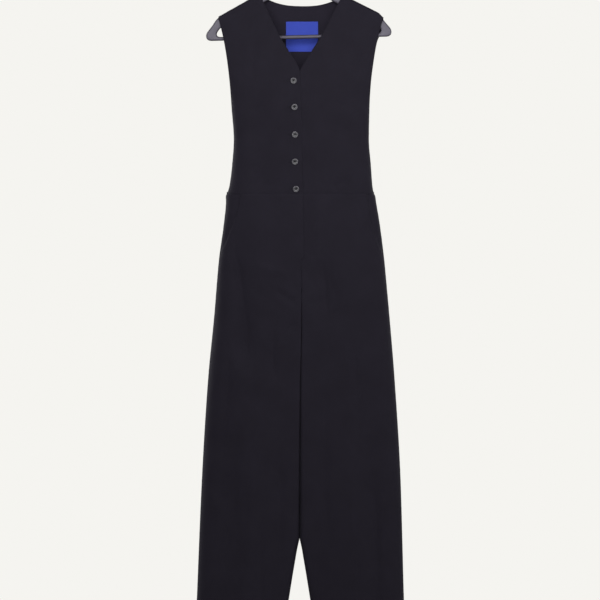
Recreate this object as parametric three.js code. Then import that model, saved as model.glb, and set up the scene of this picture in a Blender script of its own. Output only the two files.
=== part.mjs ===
// A sleeveless V-neck jumpsuit with wide legs, on a one-piece plastic hanger, in millimetres.
// +X is the viewer's right, the front faces -Y and +Z is up. The origin is the top of the hook's inside,
// where a rail carries the hanger, so heights are written as "down" from that point.
// "left" and "right" are the viewer's, and x in the garment's tables counts from its centre line.
import * as THREE from "three";

// Cloth
const CLOTH = 1.6;
const SEAM_GAP = 0.3;
const LAP = 2.4; // from the face of a piece to the face of the piece that lies under it
const GARMENT_X = 10.6; // the garment hangs a little to the right of the hook

// Heights
const V_FOOT = 305;
const UNDERARM = 394;
const WAIST = 600;
const CROTCH = 883;
const HEM = 1637;

// Bodice: half widths at the outline, and how far front and back stand from the hanger's plane
const BODICE = [
  { down: 175, left: 198.5, right: 197.5, front: 38, back: 43 },
  { down: 235, left: 184.8, right: 182.4, front: 39, back: 45 },
  { down: 278, left: 177.8, right: 175.0, front: 41, back: 47 },
  { down: 336, left: 171.1, right: 167.8, front: 43, back: 50 },
  { down: 394, left: 166.6, right: 164.4, front: 44, back: 52 },
  { down: 470, left: 161.3, right: 163.0, front: 42, back: 51 },
  { down: 528, left: 165.1, right: 167.5, front: 43, back: 53 },
  { down: 582, left: 172.0, right: 171.6, front: 44.5, back: 55 },
  { down: 600, left: 177.6, right: 174.8, front: 45, back: 56 },
];
const SECTION_POWER = 3; // roundness of the body's section, 2 for an ellipse
const NECK_HALF_WIDTH = 100.8;
const BACK_NECK_DROP = 27.5;
const BACK_NECK_POWER = 2.6;
const SHOULDER_ROUND = 8; // radius of the cloth's fold over the hanger's arm
const SHOULDER_EASE = 100; // the length over which the cloth falls away from the hanger
const SIDE_ROUND_START = 60; // below the shoulder line, where the sides begin to round
const SIDE_ROUND_LENGTH = 120;
const ARMHOLE_FLARE = 16; // how far the armhole's edges gape beyond the outline's roundness
const ARMHOLE_FLARE_LENGTH = 120;

// The V and the front edge of each bodice front, from the neck to the waist
const OVER_EDGE = [
  { down: 119, x: -100.8 },
  { down: 142, x: -88.8 },
  { down: 223, x: -50.4 },
  { down: 257, x: -29.5 },
  { down: 305, x: -3.6 },
  { down: 330, x: -1.6 },
  { down: 374, x: 0 },
  { down: 458, x: 2.4 },
  { down: 600, x: 5.2 },
];
const UNDER_EDGE = [
  { down: 122, x: 100.8 },
  { down: 142, x: 89.4 },
  { down: 218, x: 50 },
  { down: 242, x: 35.5 },
  { down: 257, x: 25.5 },
  { down: 305, x: -3.6 },
  { down: 362, x: -33.6 },
  { down: 600, x: -33.6 },
];
const FRONT_ROWS = [
  { centre: 150, side: 200 },
  { centre: 180, side: 228 },
  { centre: 212, side: 258 },
  { centre: 243, side: 290 },
  { centre: 274, side: 320 },
  { centre: V_FOOT, side: 348 },
  { centre: 330, side: 372 },
  { centre: 362, side: UNDERARM },
  { centre: 400, side: 425 },
  { centre: 440, side: 460 },
  { centre: 480, side: 495 },
  { centre: 520, side: 530 },
  { centre: 558, side: 560 },
  { centre: 582, side: 582 },
  { centre: WAIST, side: WAIST },
];
const BACK_ROW_SHARES = [0.05, 0.11, 0.18, 0.26, 0.34, 0.42, 0.506, 0.6, 0.7, 0.8, 0.88, 0.954, 1];
const FRONT_COLUMNS = [0, 0.12, 0.26, 0.4, 0.54, 0.67, 0.78, 0.87, 0.94, 0.98, 0.995, 1];
const BACK_COLUMNS = [0, 0.18, 0.36, 0.468, 0.496, 0.509, 0.65, 0.78, 0.88, 0.95, 0.985, 0.996, 1];

// Trousers: half widths at the outline, depths, radius of a leg's inner corner, and where its roundness starts
const TROUSERS = [
  { down: 600, left: 178.6, right: 175.8, front: 45, back: 56, corner: 0, power: 3, pivot: 0 },
  { down: 606, left: 180.5, right: 178.4, front: 46, back: 57, corner: 0, power: 3, pivot: 0 },
  { down: 616, left: 180.1, right: 179.8, front: 46, back: 57, corner: 0, power: 3, pivot: 0 },
  { down: 672, left: 185.3, right: 189.0, front: 47, back: 61, corner: 0, power: 2.9, pivot: 0.1 },
  { down: 758, left: 197.0, right: 199.9, front: 48, back: 66, corner: 0, power: 2.7, pivot: 0.25 },
  { down: 820, left: 202.5, right: 205.8, front: 48, back: 67, corner: 0, power: 2.55, pivot: 0.36 },
  { down: 883, left: 207.5, right: 211.5, front: 48, back: 66, corner: 9, power: 2.4, pivot: 0.44 },
  { down: 1046, left: 223.2, right: 224.9, front: 46, back: 57, corner: 15, power: 2.3, pivot: 0.5 },
  { down: 1277, left: 237.6, right: 238.8, front: 42, back: 50, corner: 20, power: 2.3, pivot: 0.5 },
  { down: 1572, left: 250.1, right: 247.2, front: 38, back: 43, corner: 27, power: 2.3, pivot: 0.5 },
  { down: 1637, left: 252.7, right: 249.6, front: 37, back: 41, corner: 29, power: 2.3, pivot: 0.5 },
];
// The line between the legs, and half the gap that opens between them above the hems
const BETWEEN_LEGS = [
  { down: 785, line: 0, half: 0.15 },
  { down: 883, line: 0.7, half: 0.3 },
  { down: 1094, line: -2.4, half: 0.3 },
  { down: 1426, line: -3.6, half: 0.4 },
  { down: 1450, line: -3.6, half: 5.4 },
  { down: 1514, line: -3.6, half: 16.3 },
  { down: 1572, line: -3.6, half: 25.6 },
  { down: 1637, line: -3.6, half: 36 },
];
const TROUSER_ROWS = [
  600, 606, 616, 631, 650, 686, 718, 735, 749, 757, 785, 820, 840, 857, 871, 883, 925, 985, 1060, 1145, 1235,
  1325, 1390, 1426, 1450, 1482, 1520, 1572, 1637,
];
const LEG_COLUMNS = [0, 0.035, 0.075, 0.125, 0.2, 0.31, 0.44, 0.57, 0.69, 0.79, 0.87, 0.935, 0.975, 1];
const CROTCH_CURVE_TOP = 820;
const CROTCH_CURVE_POWER = 1.5;
const CORNER_SHARE = 0.8; // most of the inner wall that its rounded corner may take
// The front edges of the fly: the over piece's edge, and the under piece's
const FLY_EDGES = [
  { down: 600, over: 5.2, under: -33.6 },
  { down: 735, over: 7.6, under: -28 },
  { down: 749, over: 7.9, under: -19 },
  { down: 757, over: -0.15, under: -14 },
  { down: 785, over: -0.15, under: 0.15 },
];
const FLY_CLOSED = 785; // below this the centre seam is a plain seam
const FLY_BLEND_FOOT = 840;
// Mouth of each slant pocket, from the waist seam to the side seam
const POCKET_MOUTH = [
  { down: 600, left: 148, right: 160 },
  { down: 631, left: 150, right: 162 },
  { down: 650, left: 156, right: 165 },
  { down: 686, left: 169, right: 173 },
  { down: 718, left: 181, right: 184 },
  { down: 749, left: 195, right: 197.8 },
  { down: 757, left: 240, right: 240 },
];
const POCKET_CLOSED = 757; // below this the front reaches the side seam
const POCKET_FOOT = 735;
const POCKET_UNDERLAP = 9;
const POCKET_SINK_TOP = 650; // between these heights the pocket cloth sinks in at the side seam too
const POCKET_SINK_FOOT = 718;
const LAP_EDGE = { level: 6, blend: 26 }; // the under front is sunk in this far past the over edge, then rises
const POCKET_EDGE = 3;
const POCKET_COLUMNS = [0, 0.16, 0.32, 0.5, 0.68, 0.84, 0.94, 1];

// Largest soft folds: the line of each, its half width, and how far it sinks in (or swells out, below zero)
const FOLDS = [
  { face: "front", fromX: -158, fromDown: 650, toX: -128, toDown: 1060, width: 30, depth: 6 },
  { face: "front", fromX: -64, fromDown: 870, toX: -60, toDown: 1110, width: 28, depth: 4 },
  { face: "front", fromX: 46, fromDown: 730, toX: 66, toDown: 960, width: 26, depth: 4 },
  { face: "front", fromX: 150, fromDown: 820, toX: 158, toDown: 1250, width: 32, depth: 4 },
  { face: "front", fromX: -100, fromDown: 1080, toX: -110, toDown: 1600, width: 34, depth: -5 },
  { face: "front", fromX: 105, fromDown: 1150, toX: 112, toDown: 1620, width: 34, depth: -4 },
  { face: "front", fromX: -105, fromDown: 330, toX: -84, toDown: 560, width: 34, depth: 4 },
  { face: "front", fromX: 112, fromDown: 300, toX: 92, toDown: 540, width: 34, depth: 4 },
  { face: "back", fromX: -150, fromDown: 660, toX: -128, toDown: 1240, width: 34, depth: 9 },
  { face: "back", fromX: -62, fromDown: 900, toX: -72, toDown: 1560, width: 32, depth: 7 },
  { face: "back", fromX: 70, fromDown: 870, toX: 62, toDown: 1480, width: 34, depth: 8 },
  { face: "back", fromX: 152, fromDown: 700, toX: 140, toDown: 1330, width: 30, depth: 7 },
  { face: "back", fromX: -88, fromDown: 250, toX: -74, toDown: 600, width: 32, depth: 8 },
  { face: "back", fromX: 84, fromDown: 270, toX: 92, toDown: 600, width: 30, depth: 7 },
  { face: "back", fromX: 6, fromDown: 330, toX: -4, toDown: 560, width: 44, depth: 5 },
];
const FOLD_FADE = 0.25; // share of a fold's length over which each end fades

// Buttons
const BUTTON_RADIUS = 7.5;
const BUTTON_THICKNESS = 3.2;
const BUTTON_DISH_RADIUS = 4.6;
const BUTTON_DISH_DEPTH = 1.1;
const BUTTON_EDGE = 0.7;
const BUTTONS = [
  { down: 328.8, x: -18 },
  { down: 392.4, x: -15.6 },
  { down: 458.4, x: -14.4 },
  { down: 523.2, x: -14.4 },
  { down: 588.7, x: -12 },
];

// Neck label
const LABEL = { left: -36, right: 41, top: 185.5, bottom: 258.5, thickness: 1 };
const LABEL_STEPS = 4;
const LABEL_CLEARANCE = 0.9;

// Hanger, in its own upright frame before it tilts
const HANGER_TILT = THREE.MathUtils.degToRad(1.4); // its right end is the higher one
const ARM_SLOPE = THREE.MathUtils.degToRad(28);
const CLOTH_RIDGE_TOP = 67.4; // where the lines of the two shoulders meet
const RIDGE_CLEARANCE = 0.8;
const ARM_HEIGHT = 22;
const ARM_STRAIGHT = 189;
const HANGER_DEPTH = 10;
const HANGER_EDGE = 4.4;
const HANGER_HALF_SPAN = 223;
const BAR_TOP = 218.6;
const BAR_BOTTOM = 227.7;
const COLLAR_HALF_WIDTH = 10;
const COLLAR_TOP = 57;
const COLLAR_FLARE = 2; // the collar's sides slope out by this much to meet the arms
const ARM_BEND = 8; // length over which an arm's top edge bends down at its end
// The hanger's rounded ends below the arms, with "in" measured from the half span
const END_TOP = { in: 17, down: 190 };
const END_CHEEK = { in: 4, down: 206 };
const END_BULGE = { in: -3, down: 216 };
const END_FOOT = { in: 14 };
// The window between the arms and the bar
const WINDOW_PEAK = { half: 12, crown: 2 };
const WINDOW_ARM_END = 176;
const WINDOW_BEND = 186;
const WINDOW_CORNER = { x: 193, down: 204 };
const WINDOW_BULGE = { x: 200, down: 213 };
const WINDOW_FOOT = { x: 188, ease: 196 };
const HOOK_WIRE_RADIUS = 4;
const HOOK_INNER_RADIUS = 20;
const HOOK_SIDES = 4; // curve segments of the rod, twice as many flats
const HOOK_STEPS = 26;

// Looks
const CLOTH_LOOK = new THREE.MeshStandardMaterial({ color: 0x24222a, roughness: 0.85, side: THREE.DoubleSide });
const LABEL_LOOK = new THREE.MeshStandardMaterial({ color: 0x2b3990, roughness: 0.6 });
const BUTTON_LOOK = new THREE.MeshStandardMaterial({ color: 0x6c6a70, roughness: 0.3 });
const HANGER_LOOK = new THREE.MeshStandardMaterial({ color: 0x6e6c73, roughness: 0.45 });

const lerp = THREE.MathUtils.lerp;
const clamp = THREE.MathUtils.clamp;
const smooth = (t) => THREE.MathUtils.smoothstep(t, 0, 1);

// One column of a table at a height, on a smooth curve that never overshoots its rows.
function read(table, column, down) {
  const last = table.length - 1;
  if (down <= table[0].down) return table[0][column];
  if (down >= table[last].down) return table[last][column];
  const slope = (k) => (table[k + 1][column] - table[k][column]) / (table[k + 1].down - table[k].down);
  const tangent = (k) => {
    if (k === 0) return slope(0);
    if (k === last) return slope(last - 1);
    const before = slope(k - 1);
    const after = slope(k);
    return before * after <= 0 ? 0 : (2 * before * after) / (before + after);
  };
  const i = table.findIndex((row) => row.down > down) - 1;
  const span = table[i + 1].down - table[i].down;
  const t = (down - table[i].down) / span;
  const rise = table[i + 1][column] - table[i][column];
  const bend = t * (1 - t) * ((1 - t) * (tangent(i) * span - rise) - t * (tangent(i + 1) * span - rise));
  return table[i][column] + t * rise + bend;
}

// One column of a table on straight lines between its rows.
function readStraight(table, column, down) {
  const i = clamp(table.findIndex((row) => row.down > down) - 1, 0, table.length - 2);
  const beyond = down >= table[table.length - 1].down ? table.length - 2 : i;
  const t = clamp((down - table[beyond].down) / (table[beyond + 1].down - table[beyond].down), 0, 1);
  return lerp(table[beyond][column], table[beyond + 1][column], t);
}

// Height of the shoulder line above a point of the garment.
function shoulderLine(x) {
  const apexX = CLOTH_RIDGE_TOP * Math.sin(HANGER_TILT);
  const fromApex = x + GARMENT_X - apexX;
  const slope = fromApex < 0 ? ARM_SLOPE + HANGER_TILT : ARM_SLOPE - HANGER_TILT;
  return CLOTH_RIDGE_TOP + Math.abs(fromApex) * Math.tan(slope);
}

// How far the folds push a face of the garment in at a point.
function foldDepth(face, x, down) {
  let sum = 0;
  for (const fold of FOLDS.filter((row) => row.face === face)) {
    const along = (down - fold.fromDown) / (fold.toDown - fold.fromDown);
    const fade = smooth(along / FOLD_FADE) * smooth((1 - along) / FOLD_FADE);
    const across = (x - lerp(fold.fromX, fold.toX, clamp(along, 0, 1))) / fold.width;
    sum += fold.depth * fade * Math.exp(-across * across);
  }
  return sum;
}

// Distance of the bodice's front or back from the hanger's plane.
function bodiceDepth(face, x, down) {
  const side = x < 0 ? "left" : "right";
  const gape = down < UNDERARM ? ARMHOLE_FLARE * smooth((UNDERARM - down) / ARMHOLE_FLARE_LENGTH) : 0;
  const reach = Math.min(Math.abs(x) / (read(BODICE, side, down) + gape), 1);
  const roundness = Math.pow(1 - Math.pow(reach, SECTION_POWER), 1 / SECTION_POWER);
  const below = Math.max(down - shoulderLine(x), 0);
  const overArm =
    below < SHOULDER_ROUND ? Math.sqrt(below * (2 * SHOULDER_ROUND - below)) : SHOULDER_ROUND;
  const held = lerp(1, roundness, smooth((below - SIDE_ROUND_START) / SIDE_ROUND_LENGTH));
  const fallen = 1 - Math.exp(-Math.max(below - SHOULDER_ROUND, 0) / SHOULDER_EASE);
  const full = read(BODICE, face, down) - SHOULDER_ROUND;
  return overArm * held + (full * fallen - foldDepth(face, x, down)) * roundness;
}

// A point of the garment. face is "front" or "back"; depth is how far it stands from the hanger's plane.
function point(face, x, depth, down) {
  const away = Math.max(depth, SEAM_GAP / 2);
  return new THREE.Vector3(x + GARMENT_X, face === "front" ? -away : away, -down);
}

// Closed body from a grid of points of a panel's outer face, rows from its top and columns across it.
// setBack(point) sinks the face in, and keep(point) holds a point of the inner face on its own side of a seam.
function panel(name, grid, options) {
  const { face, setBack = () => 0, keep = () => {}, thickness = CLOTH, look = CLOTH_LOOK } = options;
  const rows = grid.length;
  const columns = grid[0].length;
  const normalAt = (r, c) => {
    const across = new THREE.Vector3().subVectors(
      grid[r][Math.min(c + 1, columns - 1)],
      grid[r][Math.max(c - 1, 0)],
    );
    const along = new THREE.Vector3().subVectors(
      grid[Math.min(r + 1, rows - 1)][c],
      grid[Math.max(r - 1, 0)][c],
    );
    return across.cross(along).normalize();
  };
  const middle = normalAt(rows >> 1, columns >> 1);
  const outward = (face === "front" ? -middle.y : middle.y) > 0 ? 1 : -1;
  const positions = [];
  for (const wall of [0, thickness]) {
    for (let r = 0; r < rows; r++) {
      for (let c = 0; c < columns; c++) {
        const start = grid[r][c];
        const shift = -outward * (setBack(start) + wall);
        const placed = normalAt(r, c).multiplyScalar(shift).add(start);
        placed.y = face === "front" ? Math.min(placed.y, -SEAM_GAP / 2) : Math.max(placed.y, SEAM_GAP / 2);
        placed.z = clamp(placed.z, grid[rows - 1][c].z, grid[0][c].z);
        keep(placed, start);
        positions.push(placed.x, placed.y, placed.z);
      }
    }
  }
  const at = (wall, r, c) => wall * rows * columns + r * columns + c;
  const index = [];
  const quad = (a, b, c, d) => {
    if (outward > 0) index.push(a, b, c, a, c, d);
    else index.push(a, c, b, a, d, c);
  };
  for (let r = 0; r < rows - 1; r++) {
    for (let c = 0; c < columns - 1; c++) {
      quad(at(0, r, c), at(0, r, c + 1), at(0, r + 1, c + 1), at(0, r + 1, c));
      quad(at(1, r, c), at(1, r + 1, c), at(1, r + 1, c + 1), at(1, r, c + 1));
    }
  }
  for (let c = 0; c < columns - 1; c++) {
    quad(at(0, 0, c), at(1, 0, c), at(1, 0, c + 1), at(0, 0, c + 1));
    quad(at(0, rows - 1, c), at(0, rows - 1, c + 1), at(1, rows - 1, c + 1), at(1, rows - 1, c));
  }
  for (let r = 0; r < rows - 1; r++) {
    quad(at(0, r, 0), at(0, r + 1, 0), at(1, r + 1, 0), at(1, r, 0));
    const last = columns - 1;
    quad(at(0, r, last), at(1, r, last), at(1, r + 1, last), at(0, r + 1, last));
  }
  const geometry = new THREE.BufferGeometry();
  geometry.setAttribute("position", new THREE.Float32BufferAttribute(positions, 3));
  geometry.setIndex(index);
  return named(name, geometry, look);
}

function named(name, geometry, look) {
  const mesh = new THREE.Mesh(geometry, look);
  mesh.name = name;
  return mesh;
}

// How far each of the first rows lies below the shoulder line, at equal angles round the fold over the arm.
const SHOULDER_ROWS = [0, 30, 60, 90].map(
  (angle) => SHOULDER_ROUND * (1 - Math.cos(THREE.MathUtils.degToRad(angle))),
);

// A bodice front: its columns run from the V and the front edge to the armhole and the side seam.
function bodiceFront(name, side, edge, setBack) {
  const sign = side === "left" ? -1 : 1;
  const across = (centre, outer, bend) =>
    FRONT_COLUMNS.map((share) => {
      const x = lerp(centre.x, outer.x, share);
      const down = bend(x, lerp(centre.down, outer.down, share));
      return point("front", x, bodiceDepth("front", x, down), down);
    });
  const shoulderTip = sign * read(BODICE, side, 0);
  const neckDown = shoulderLine(sign * NECK_HALF_WIDTH);
  const grid = SHOULDER_ROWS.map((below) => {
    const centre = { x: read(edge, "x", neckDown + below), down: 0 };
    const outer = { x: shoulderTip, down: 0 };
    return across(centre, outer, (x) => shoulderLine(x) + below);
  });
  for (const row of FRONT_ROWS) {
    const centre = { x: read(edge, "x", row.centre), down: row.centre };
    const outer = { x: sign * read(BODICE, side, row.side), down: row.side };
    grid.push(across(centre, outer, (x, down) => Math.min(down, WAIST - SEAM_GAP / 2)));
  }
  return panel(name, grid, { face: "front", setBack });
}

// Top edge of the back: the shoulder lines, and the neckline that dips between them.
function backTop(x) {
  const reach = Math.abs(x) / NECK_HALF_WIDTH;
  if (reach >= 1) return shoulderLine(x);
  const [left, right] = [shoulderLine(-NECK_HALF_WIDTH), shoulderLine(NECK_HALF_WIDTH)];
  const drop = BACK_NECK_DROP * (1 - Math.pow(reach, BACK_NECK_POWER));
  return lerp(left, right, (x / NECK_HALF_WIDTH + 1) / 2) + drop;
}

// The bodice back, in one piece from side seam to side seam.
function bodiceBack() {
  const signed = [...BACK_COLUMNS.slice(1).reverse().map((share) => -share), ...BACK_COLUMNS];
  const tops = signed.map((share) => {
    const x = share * read(BODICE, share < 0 ? "left" : "right", 0);
    return backTop(x);
  });
  const rowAt = (downOf) =>
    signed.map((share, c) => {
      const side = share < 0 ? "left" : "right";
      const sideDown = downOf(tops[share < 0 ? 0 : tops.length - 1]);
      const x = share * read(BODICE, side, sideDown);
      const down = Math.min(downOf(tops[c]), WAIST - SEAM_GAP / 2);
      return point("back", x, bodiceDepth("back", x, down), down);
    });
  const grid = SHOULDER_ROWS.map((below) => rowAt((top) => top + below));
  const start = SHOULDER_ROWS[SHOULDER_ROWS.length - 1];
  for (const share of BACK_ROW_SHARES) grid.push(rowAt((top) => lerp(top + start, WAIST, share)));
  return panel("bodice_back", grid, { face: "back" });
}

// Half of a section of the trousers, as a fine line from the inner seam round to the side seam.
function trouserLine(face, side, down) {
  const sign = side === "left" ? -1 : 1;
  const depth = read(TROUSERS, face, down);
  const outer = sign * read(TROUSERS, side, down);
  const line = read(BETWEEN_LEGS, "line", down);
  const inner = line + sign * readStraight(BETWEEN_LEGS, "half", down);
  const power = read(TROUSERS, "power", down);
  const pivot = lerp(inner, outer, read(TROUSERS, "pivot", down));
  const turned = clamp((down - CROTCH_CURVE_TOP) / (CROTCH - CROTCH_CURVE_TOP), 0, 1);
  const wall = depth * Math.pow(turned, CROTCH_CURVE_POWER);
  const corner = Math.min(read(TROUSERS, "corner", down), wall * CORNER_SHARE);
  const points = [];
  const add = (x, stand) => points.push(new THREE.Vector2(x, stand));
  if (wall > 0) {
    add(inner, depth - wall);
    for (let angle = 0; angle <= 90; angle += 15) {
      const turn = THREE.MathUtils.degToRad(angle);
      add(inner + sign * corner * (1 - Math.cos(turn)), depth - corner * (1 - Math.sin(turn)));
    }
  } else {
    add(inner, depth);
  }
  for (let angle = 0; angle <= 90; angle += 3) {
    const turn = THREE.MathUtils.degToRad(angle);
    const x = lerp(pivot, outer, Math.pow(Math.sin(turn), 2 / power));
    if (Math.abs(x - inner) > corner) add(x, depth * Math.pow(Math.max(Math.cos(turn), 0), 2 / power));
  }
  return points;
}

// The same line cut or drawn out to another start and end.
function cutLine(points, from, to, sign) {
  const inside = points.filter((p) => (p.x - from) * sign > 0.01 && (to - p.x) * sign > 0.01);
  const standAt = (x) => {
    const i = points.findIndex((p) => (p.x - x) * sign >= 0);
    if (i <= 0) return points[Math.max(i, 0)].y;
    const [a, b] = [points[i - 1], points[i]];
    return lerp(a.y, b.y, (x - a.x) / (b.x - a.x));
  };
  return [new THREE.Vector2(from, standAt(from)), ...inside, new THREE.Vector2(to, standAt(to))];
}

// Points at given shares of a line's length.
function spread(points, shares) {
  const reached = [0];
  for (let i = 1; i < points.length; i++) reached.push(reached[i - 1] + points[i].distanceTo(points[i - 1]));
  const whole = reached[reached.length - 1];
  return shares.map((share) => {
    const wanted = share * whole;
    const i = clamp(reached.findIndex((length) => length >= wanted), 1, points.length - 1);
    const t = (wanted - reached[i - 1]) / Math.max(reached[i] - reached[i - 1], 1e-9);
    return new THREE.Vector2().lerpVectors(points[i - 1], points[i], t);
  });
}

function trouserPoint(face, p, down) {
  const flat = clamp(p.y / read(TROUSERS, face, down), 0, 1);
  const folded = p.y - foldDepth(face, p.x, down) * flat;
  const level = clamp(down, WAIST + SEAM_GAP / 2, HEM);
  return point(face, p.x, folded, level);
}

// How far an under piece is sunk in near the fly or the button edge, where the over piece covers it.
function underLapSetBack(edgeOf, foot) {
  return (start) => {
    const down = -start.z;
    const past = start.x - GARMENT_X - edgeOf(down);
    const fadeDown = foot ? 1 - smooth((down - foot) / (FLY_BLEND_FOOT - foot)) : 1;
    return LAP * fadeDown * (1 - smooth((past - LAP_EDGE.level) / LAP_EDGE.blend));
  };
}

function trouserPanel(name, face, side, flyEdge) {
  const sign = side === "left" ? -1 : 1;
  const rows = TROUSER_ROWS.map((down) => {
    let line = trouserLine(face, side, down);
    const inner = line[0].x;
    const start = flyEdge && down < FLY_CLOSED ? readStraight(FLY_EDGES, flyEdge, down) : inner;
    const outer = line[line.length - 1].x;
    const mouth = face === "front" ? sign * readStraight(POCKET_MOUTH, side, down) : outer;
    const end = Math.abs(mouth) < Math.abs(outer) && down < POCKET_CLOSED ? mouth : outer;
    if (start !== inner || end !== outer) line = cutLine(line, start, end, sign);
    return spread(line, LEG_COLUMNS).map((p) => trouserPoint(face, p, down));
  });
  const keep = (placed, start) => {
    const down = -start.z;
    if (down < FLY_CLOSED) return;
    const half = readStraight(BETWEEN_LEGS, "half", down);
    const limit = read(BETWEEN_LEGS, "line", down) + sign * half + GARMENT_X;
    if ((placed.x - limit) * sign < 0) placed.x = limit;
  };
  const flyOver = (down) => readStraight(FLY_EDGES, "over", down);
  const setBack = flyEdge === "under" ? underLapSetBack(flyOver, FLY_CLOSED) : undefined;
  return panel(name, rows, { face, keep, setBack });
}

// The cloth that shows inside a slant pocket's mouth, between the mouth and the side seam.
function pocketSide(name, side) {
  const sign = side === "left" ? -1 : 1;
  const mouthAt = (down) => sign * readStraight(POCKET_MOUTH, side, down);
  const outerAt = (down) => sign * read(TROUSERS, side, down);
  const rows = TROUSER_ROWS.filter((down) => down <= POCKET_FOOT).map((down) => {
    const start = mouthAt(down) - sign * POCKET_UNDERLAP;
    const line = cutLine(trouserLine("front", side, down), start, outerAt(down), sign);
    return spread(line, POCKET_COLUMNS).map((p) => trouserPoint("front", p, down));
  });
  const setBack = (start) => {
    const down = -start.z;
    const past = (start.x - GARMENT_X - mouthAt(down)) * sign;
    const room = Math.abs(outerAt(down) - mouthAt(down));
    const atSide = LAP * smooth((down - POCKET_SINK_TOP) / (POCKET_SINK_FOOT - POCKET_SINK_TOP));
    return lerp(LAP, atSide, smooth((past - POCKET_EDGE) / Math.max(room - POCKET_EDGE, 1)));
  };
  return panel(name, rows, { face: "front", setBack });
}

// A sew-through button with a dished face, turned on its axis and set on the over front.
function button(name, { down, x }) {
  const profile = [
    [0, 0],
    [BUTTON_RADIUS - BUTTON_EDGE, 0],
    [BUTTON_RADIUS, BUTTON_EDGE],
    [BUTTON_RADIUS, BUTTON_THICKNESS - BUTTON_EDGE],
    [BUTTON_RADIUS - BUTTON_EDGE, BUTTON_THICKNESS],
    [BUTTON_DISH_RADIUS + BUTTON_EDGE, BUTTON_THICKNESS],
    [BUTTON_DISH_RADIUS, BUTTON_THICKNESS - BUTTON_DISH_DEPTH],
    [0, BUTTON_THICKNESS - BUTTON_DISH_DEPTH],
  ].map(([radius, height]) => new THREE.Vector2(radius, height));
  const mesh = named(name, new THREE.LatheGeometry(profile, 16), BUTTON_LOOK);
  mesh.rotation.x = Math.PI;
  const steps = [-BUTTON_RADIUS, 0, BUTTON_RADIUS];
  const stands = steps.map((step) => bodiceDepth("front", x + step, down + step));
  mesh.position.set(x + GARMENT_X, -Math.max(...stands) - SEAM_GAP, -down);
  return mesh;
}

// A plain woven label on the inside of the back, below the neck.
function neckLabel() {
  const grid = [];
  for (let r = 0; r <= LABEL_STEPS; r++) {
    const down = lerp(LABEL.top, LABEL.bottom, r / LABEL_STEPS);
    const row = [];
    for (let c = 0; c <= LABEL_STEPS; c++) {
      const x = lerp(LABEL.left, LABEL.right, c / LABEL_STEPS);
      row.push(point("back", x, bodiceDepth("back", x, down), down));
    }
    grid.push(row);
  }
  const setBack = () => CLOTH + LABEL_CLEARANCE;
  return panel("neck_label", grid, { face: "back", setBack, thickness: LABEL.thickness, look: LABEL_LOOK });
}

// The hanger's arms, rounded ends and trouser bar as one outline with one window.
function hangerFrame() {
  const topDrop = (CLOTH + RIDGE_CLEARANCE) / Math.cos(ARM_SLOPE);
  const armTop = (x) => -(CLOTH_RIDGE_TOP + topDrop + x * Math.tan(ARM_SLOPE));
  const armFoot = (x) => armTop(x) - ARM_HEIGHT / Math.cos(ARM_SLOPE);
  const [topX, cheekX, bulgeX, footX] = [END_TOP, END_CHEEK, END_BULGE, END_FOOT].map(
    (place) => HANGER_HALF_SPAN - place.in,
  );
  const [span, foot, bendX] = [HANGER_HALF_SPAN, -BAR_BOTTOM, ARM_STRAIGHT + ARM_BEND];
  const flareX = COLLAR_HALF_WIDTH + COLLAR_FLARE;
  const outline = new THREE.Shape();
  outline.moveTo(-COLLAR_HALF_WIDTH, -COLLAR_TOP);
  outline.lineTo(COLLAR_HALF_WIDTH, -COLLAR_TOP);
  outline.lineTo(flareX, armTop(flareX));
  outline.lineTo(ARM_STRAIGHT, armTop(ARM_STRAIGHT));
  outline.quadraticCurveTo(bendX, armTop(bendX), topX, -END_TOP.down);
  outline.lineTo(cheekX, -END_CHEEK.down);
  outline.bezierCurveTo(bulgeX, -END_BULGE.down, span, foot, footX, foot);
  outline.lineTo(-footX, foot);
  outline.bezierCurveTo(-span, foot, -bulgeX, -END_BULGE.down, -cheekX, -END_CHEEK.down);
  outline.lineTo(-topX, -END_TOP.down);
  outline.quadraticCurveTo(-bendX, armTop(bendX), -ARM_STRAIGHT, armTop(ARM_STRAIGHT));
  outline.lineTo(-flareX, armTop(flareX));
  outline.closePath();

  const [peak, crown] = [WINDOW_PEAK.half, armFoot(WINDOW_PEAK.crown)];
  const [cornerX, cornerZ] = [WINDOW_CORNER.x, -WINDOW_CORNER.down];
  const [turnX, turnZ] = [WINDOW_BULGE.x, -WINDOW_BULGE.down];
  const bend = armFoot(WINDOW_BEND);
  const window = new THREE.Path();
  window.moveTo(peak, armFoot(peak));
  window.quadraticCurveTo(0, crown, -peak, armFoot(peak));
  window.lineTo(-WINDOW_ARM_END, armFoot(WINDOW_ARM_END));
  window.quadraticCurveTo(-WINDOW_BEND, bend, -cornerX, cornerZ);
  window.bezierCurveTo(-turnX, turnZ, -WINDOW_FOOT.ease, -BAR_TOP, -WINDOW_FOOT.x, -BAR_TOP);
  window.lineTo(WINDOW_FOOT.x, -BAR_TOP);
  window.bezierCurveTo(WINDOW_FOOT.ease, -BAR_TOP, turnX, turnZ, cornerX, cornerZ);
  window.quadraticCurveTo(WINDOW_BEND, bend, WINDOW_ARM_END, armFoot(WINDOW_ARM_END));
  window.closePath();
  outline.holes.push(window);
  const geometry = new THREE.ExtrudeGeometry(outline, {
    depth: HANGER_DEPTH - 2 * HANGER_EDGE,
    bevelSize: HANGER_EDGE,
    bevelThickness: HANGER_EDGE,
    bevelOffset: -HANGER_EDGE,
    bevelSegments: 3,
    curveSegments: 5,
  });
  geometry.translate(0, 0, HANGER_EDGE - HANGER_DEPTH / 2);
  geometry.rotateX(Math.PI / 2);
  return named("hanger_frame", geometry, HANGER_LOOK);
}

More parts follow.
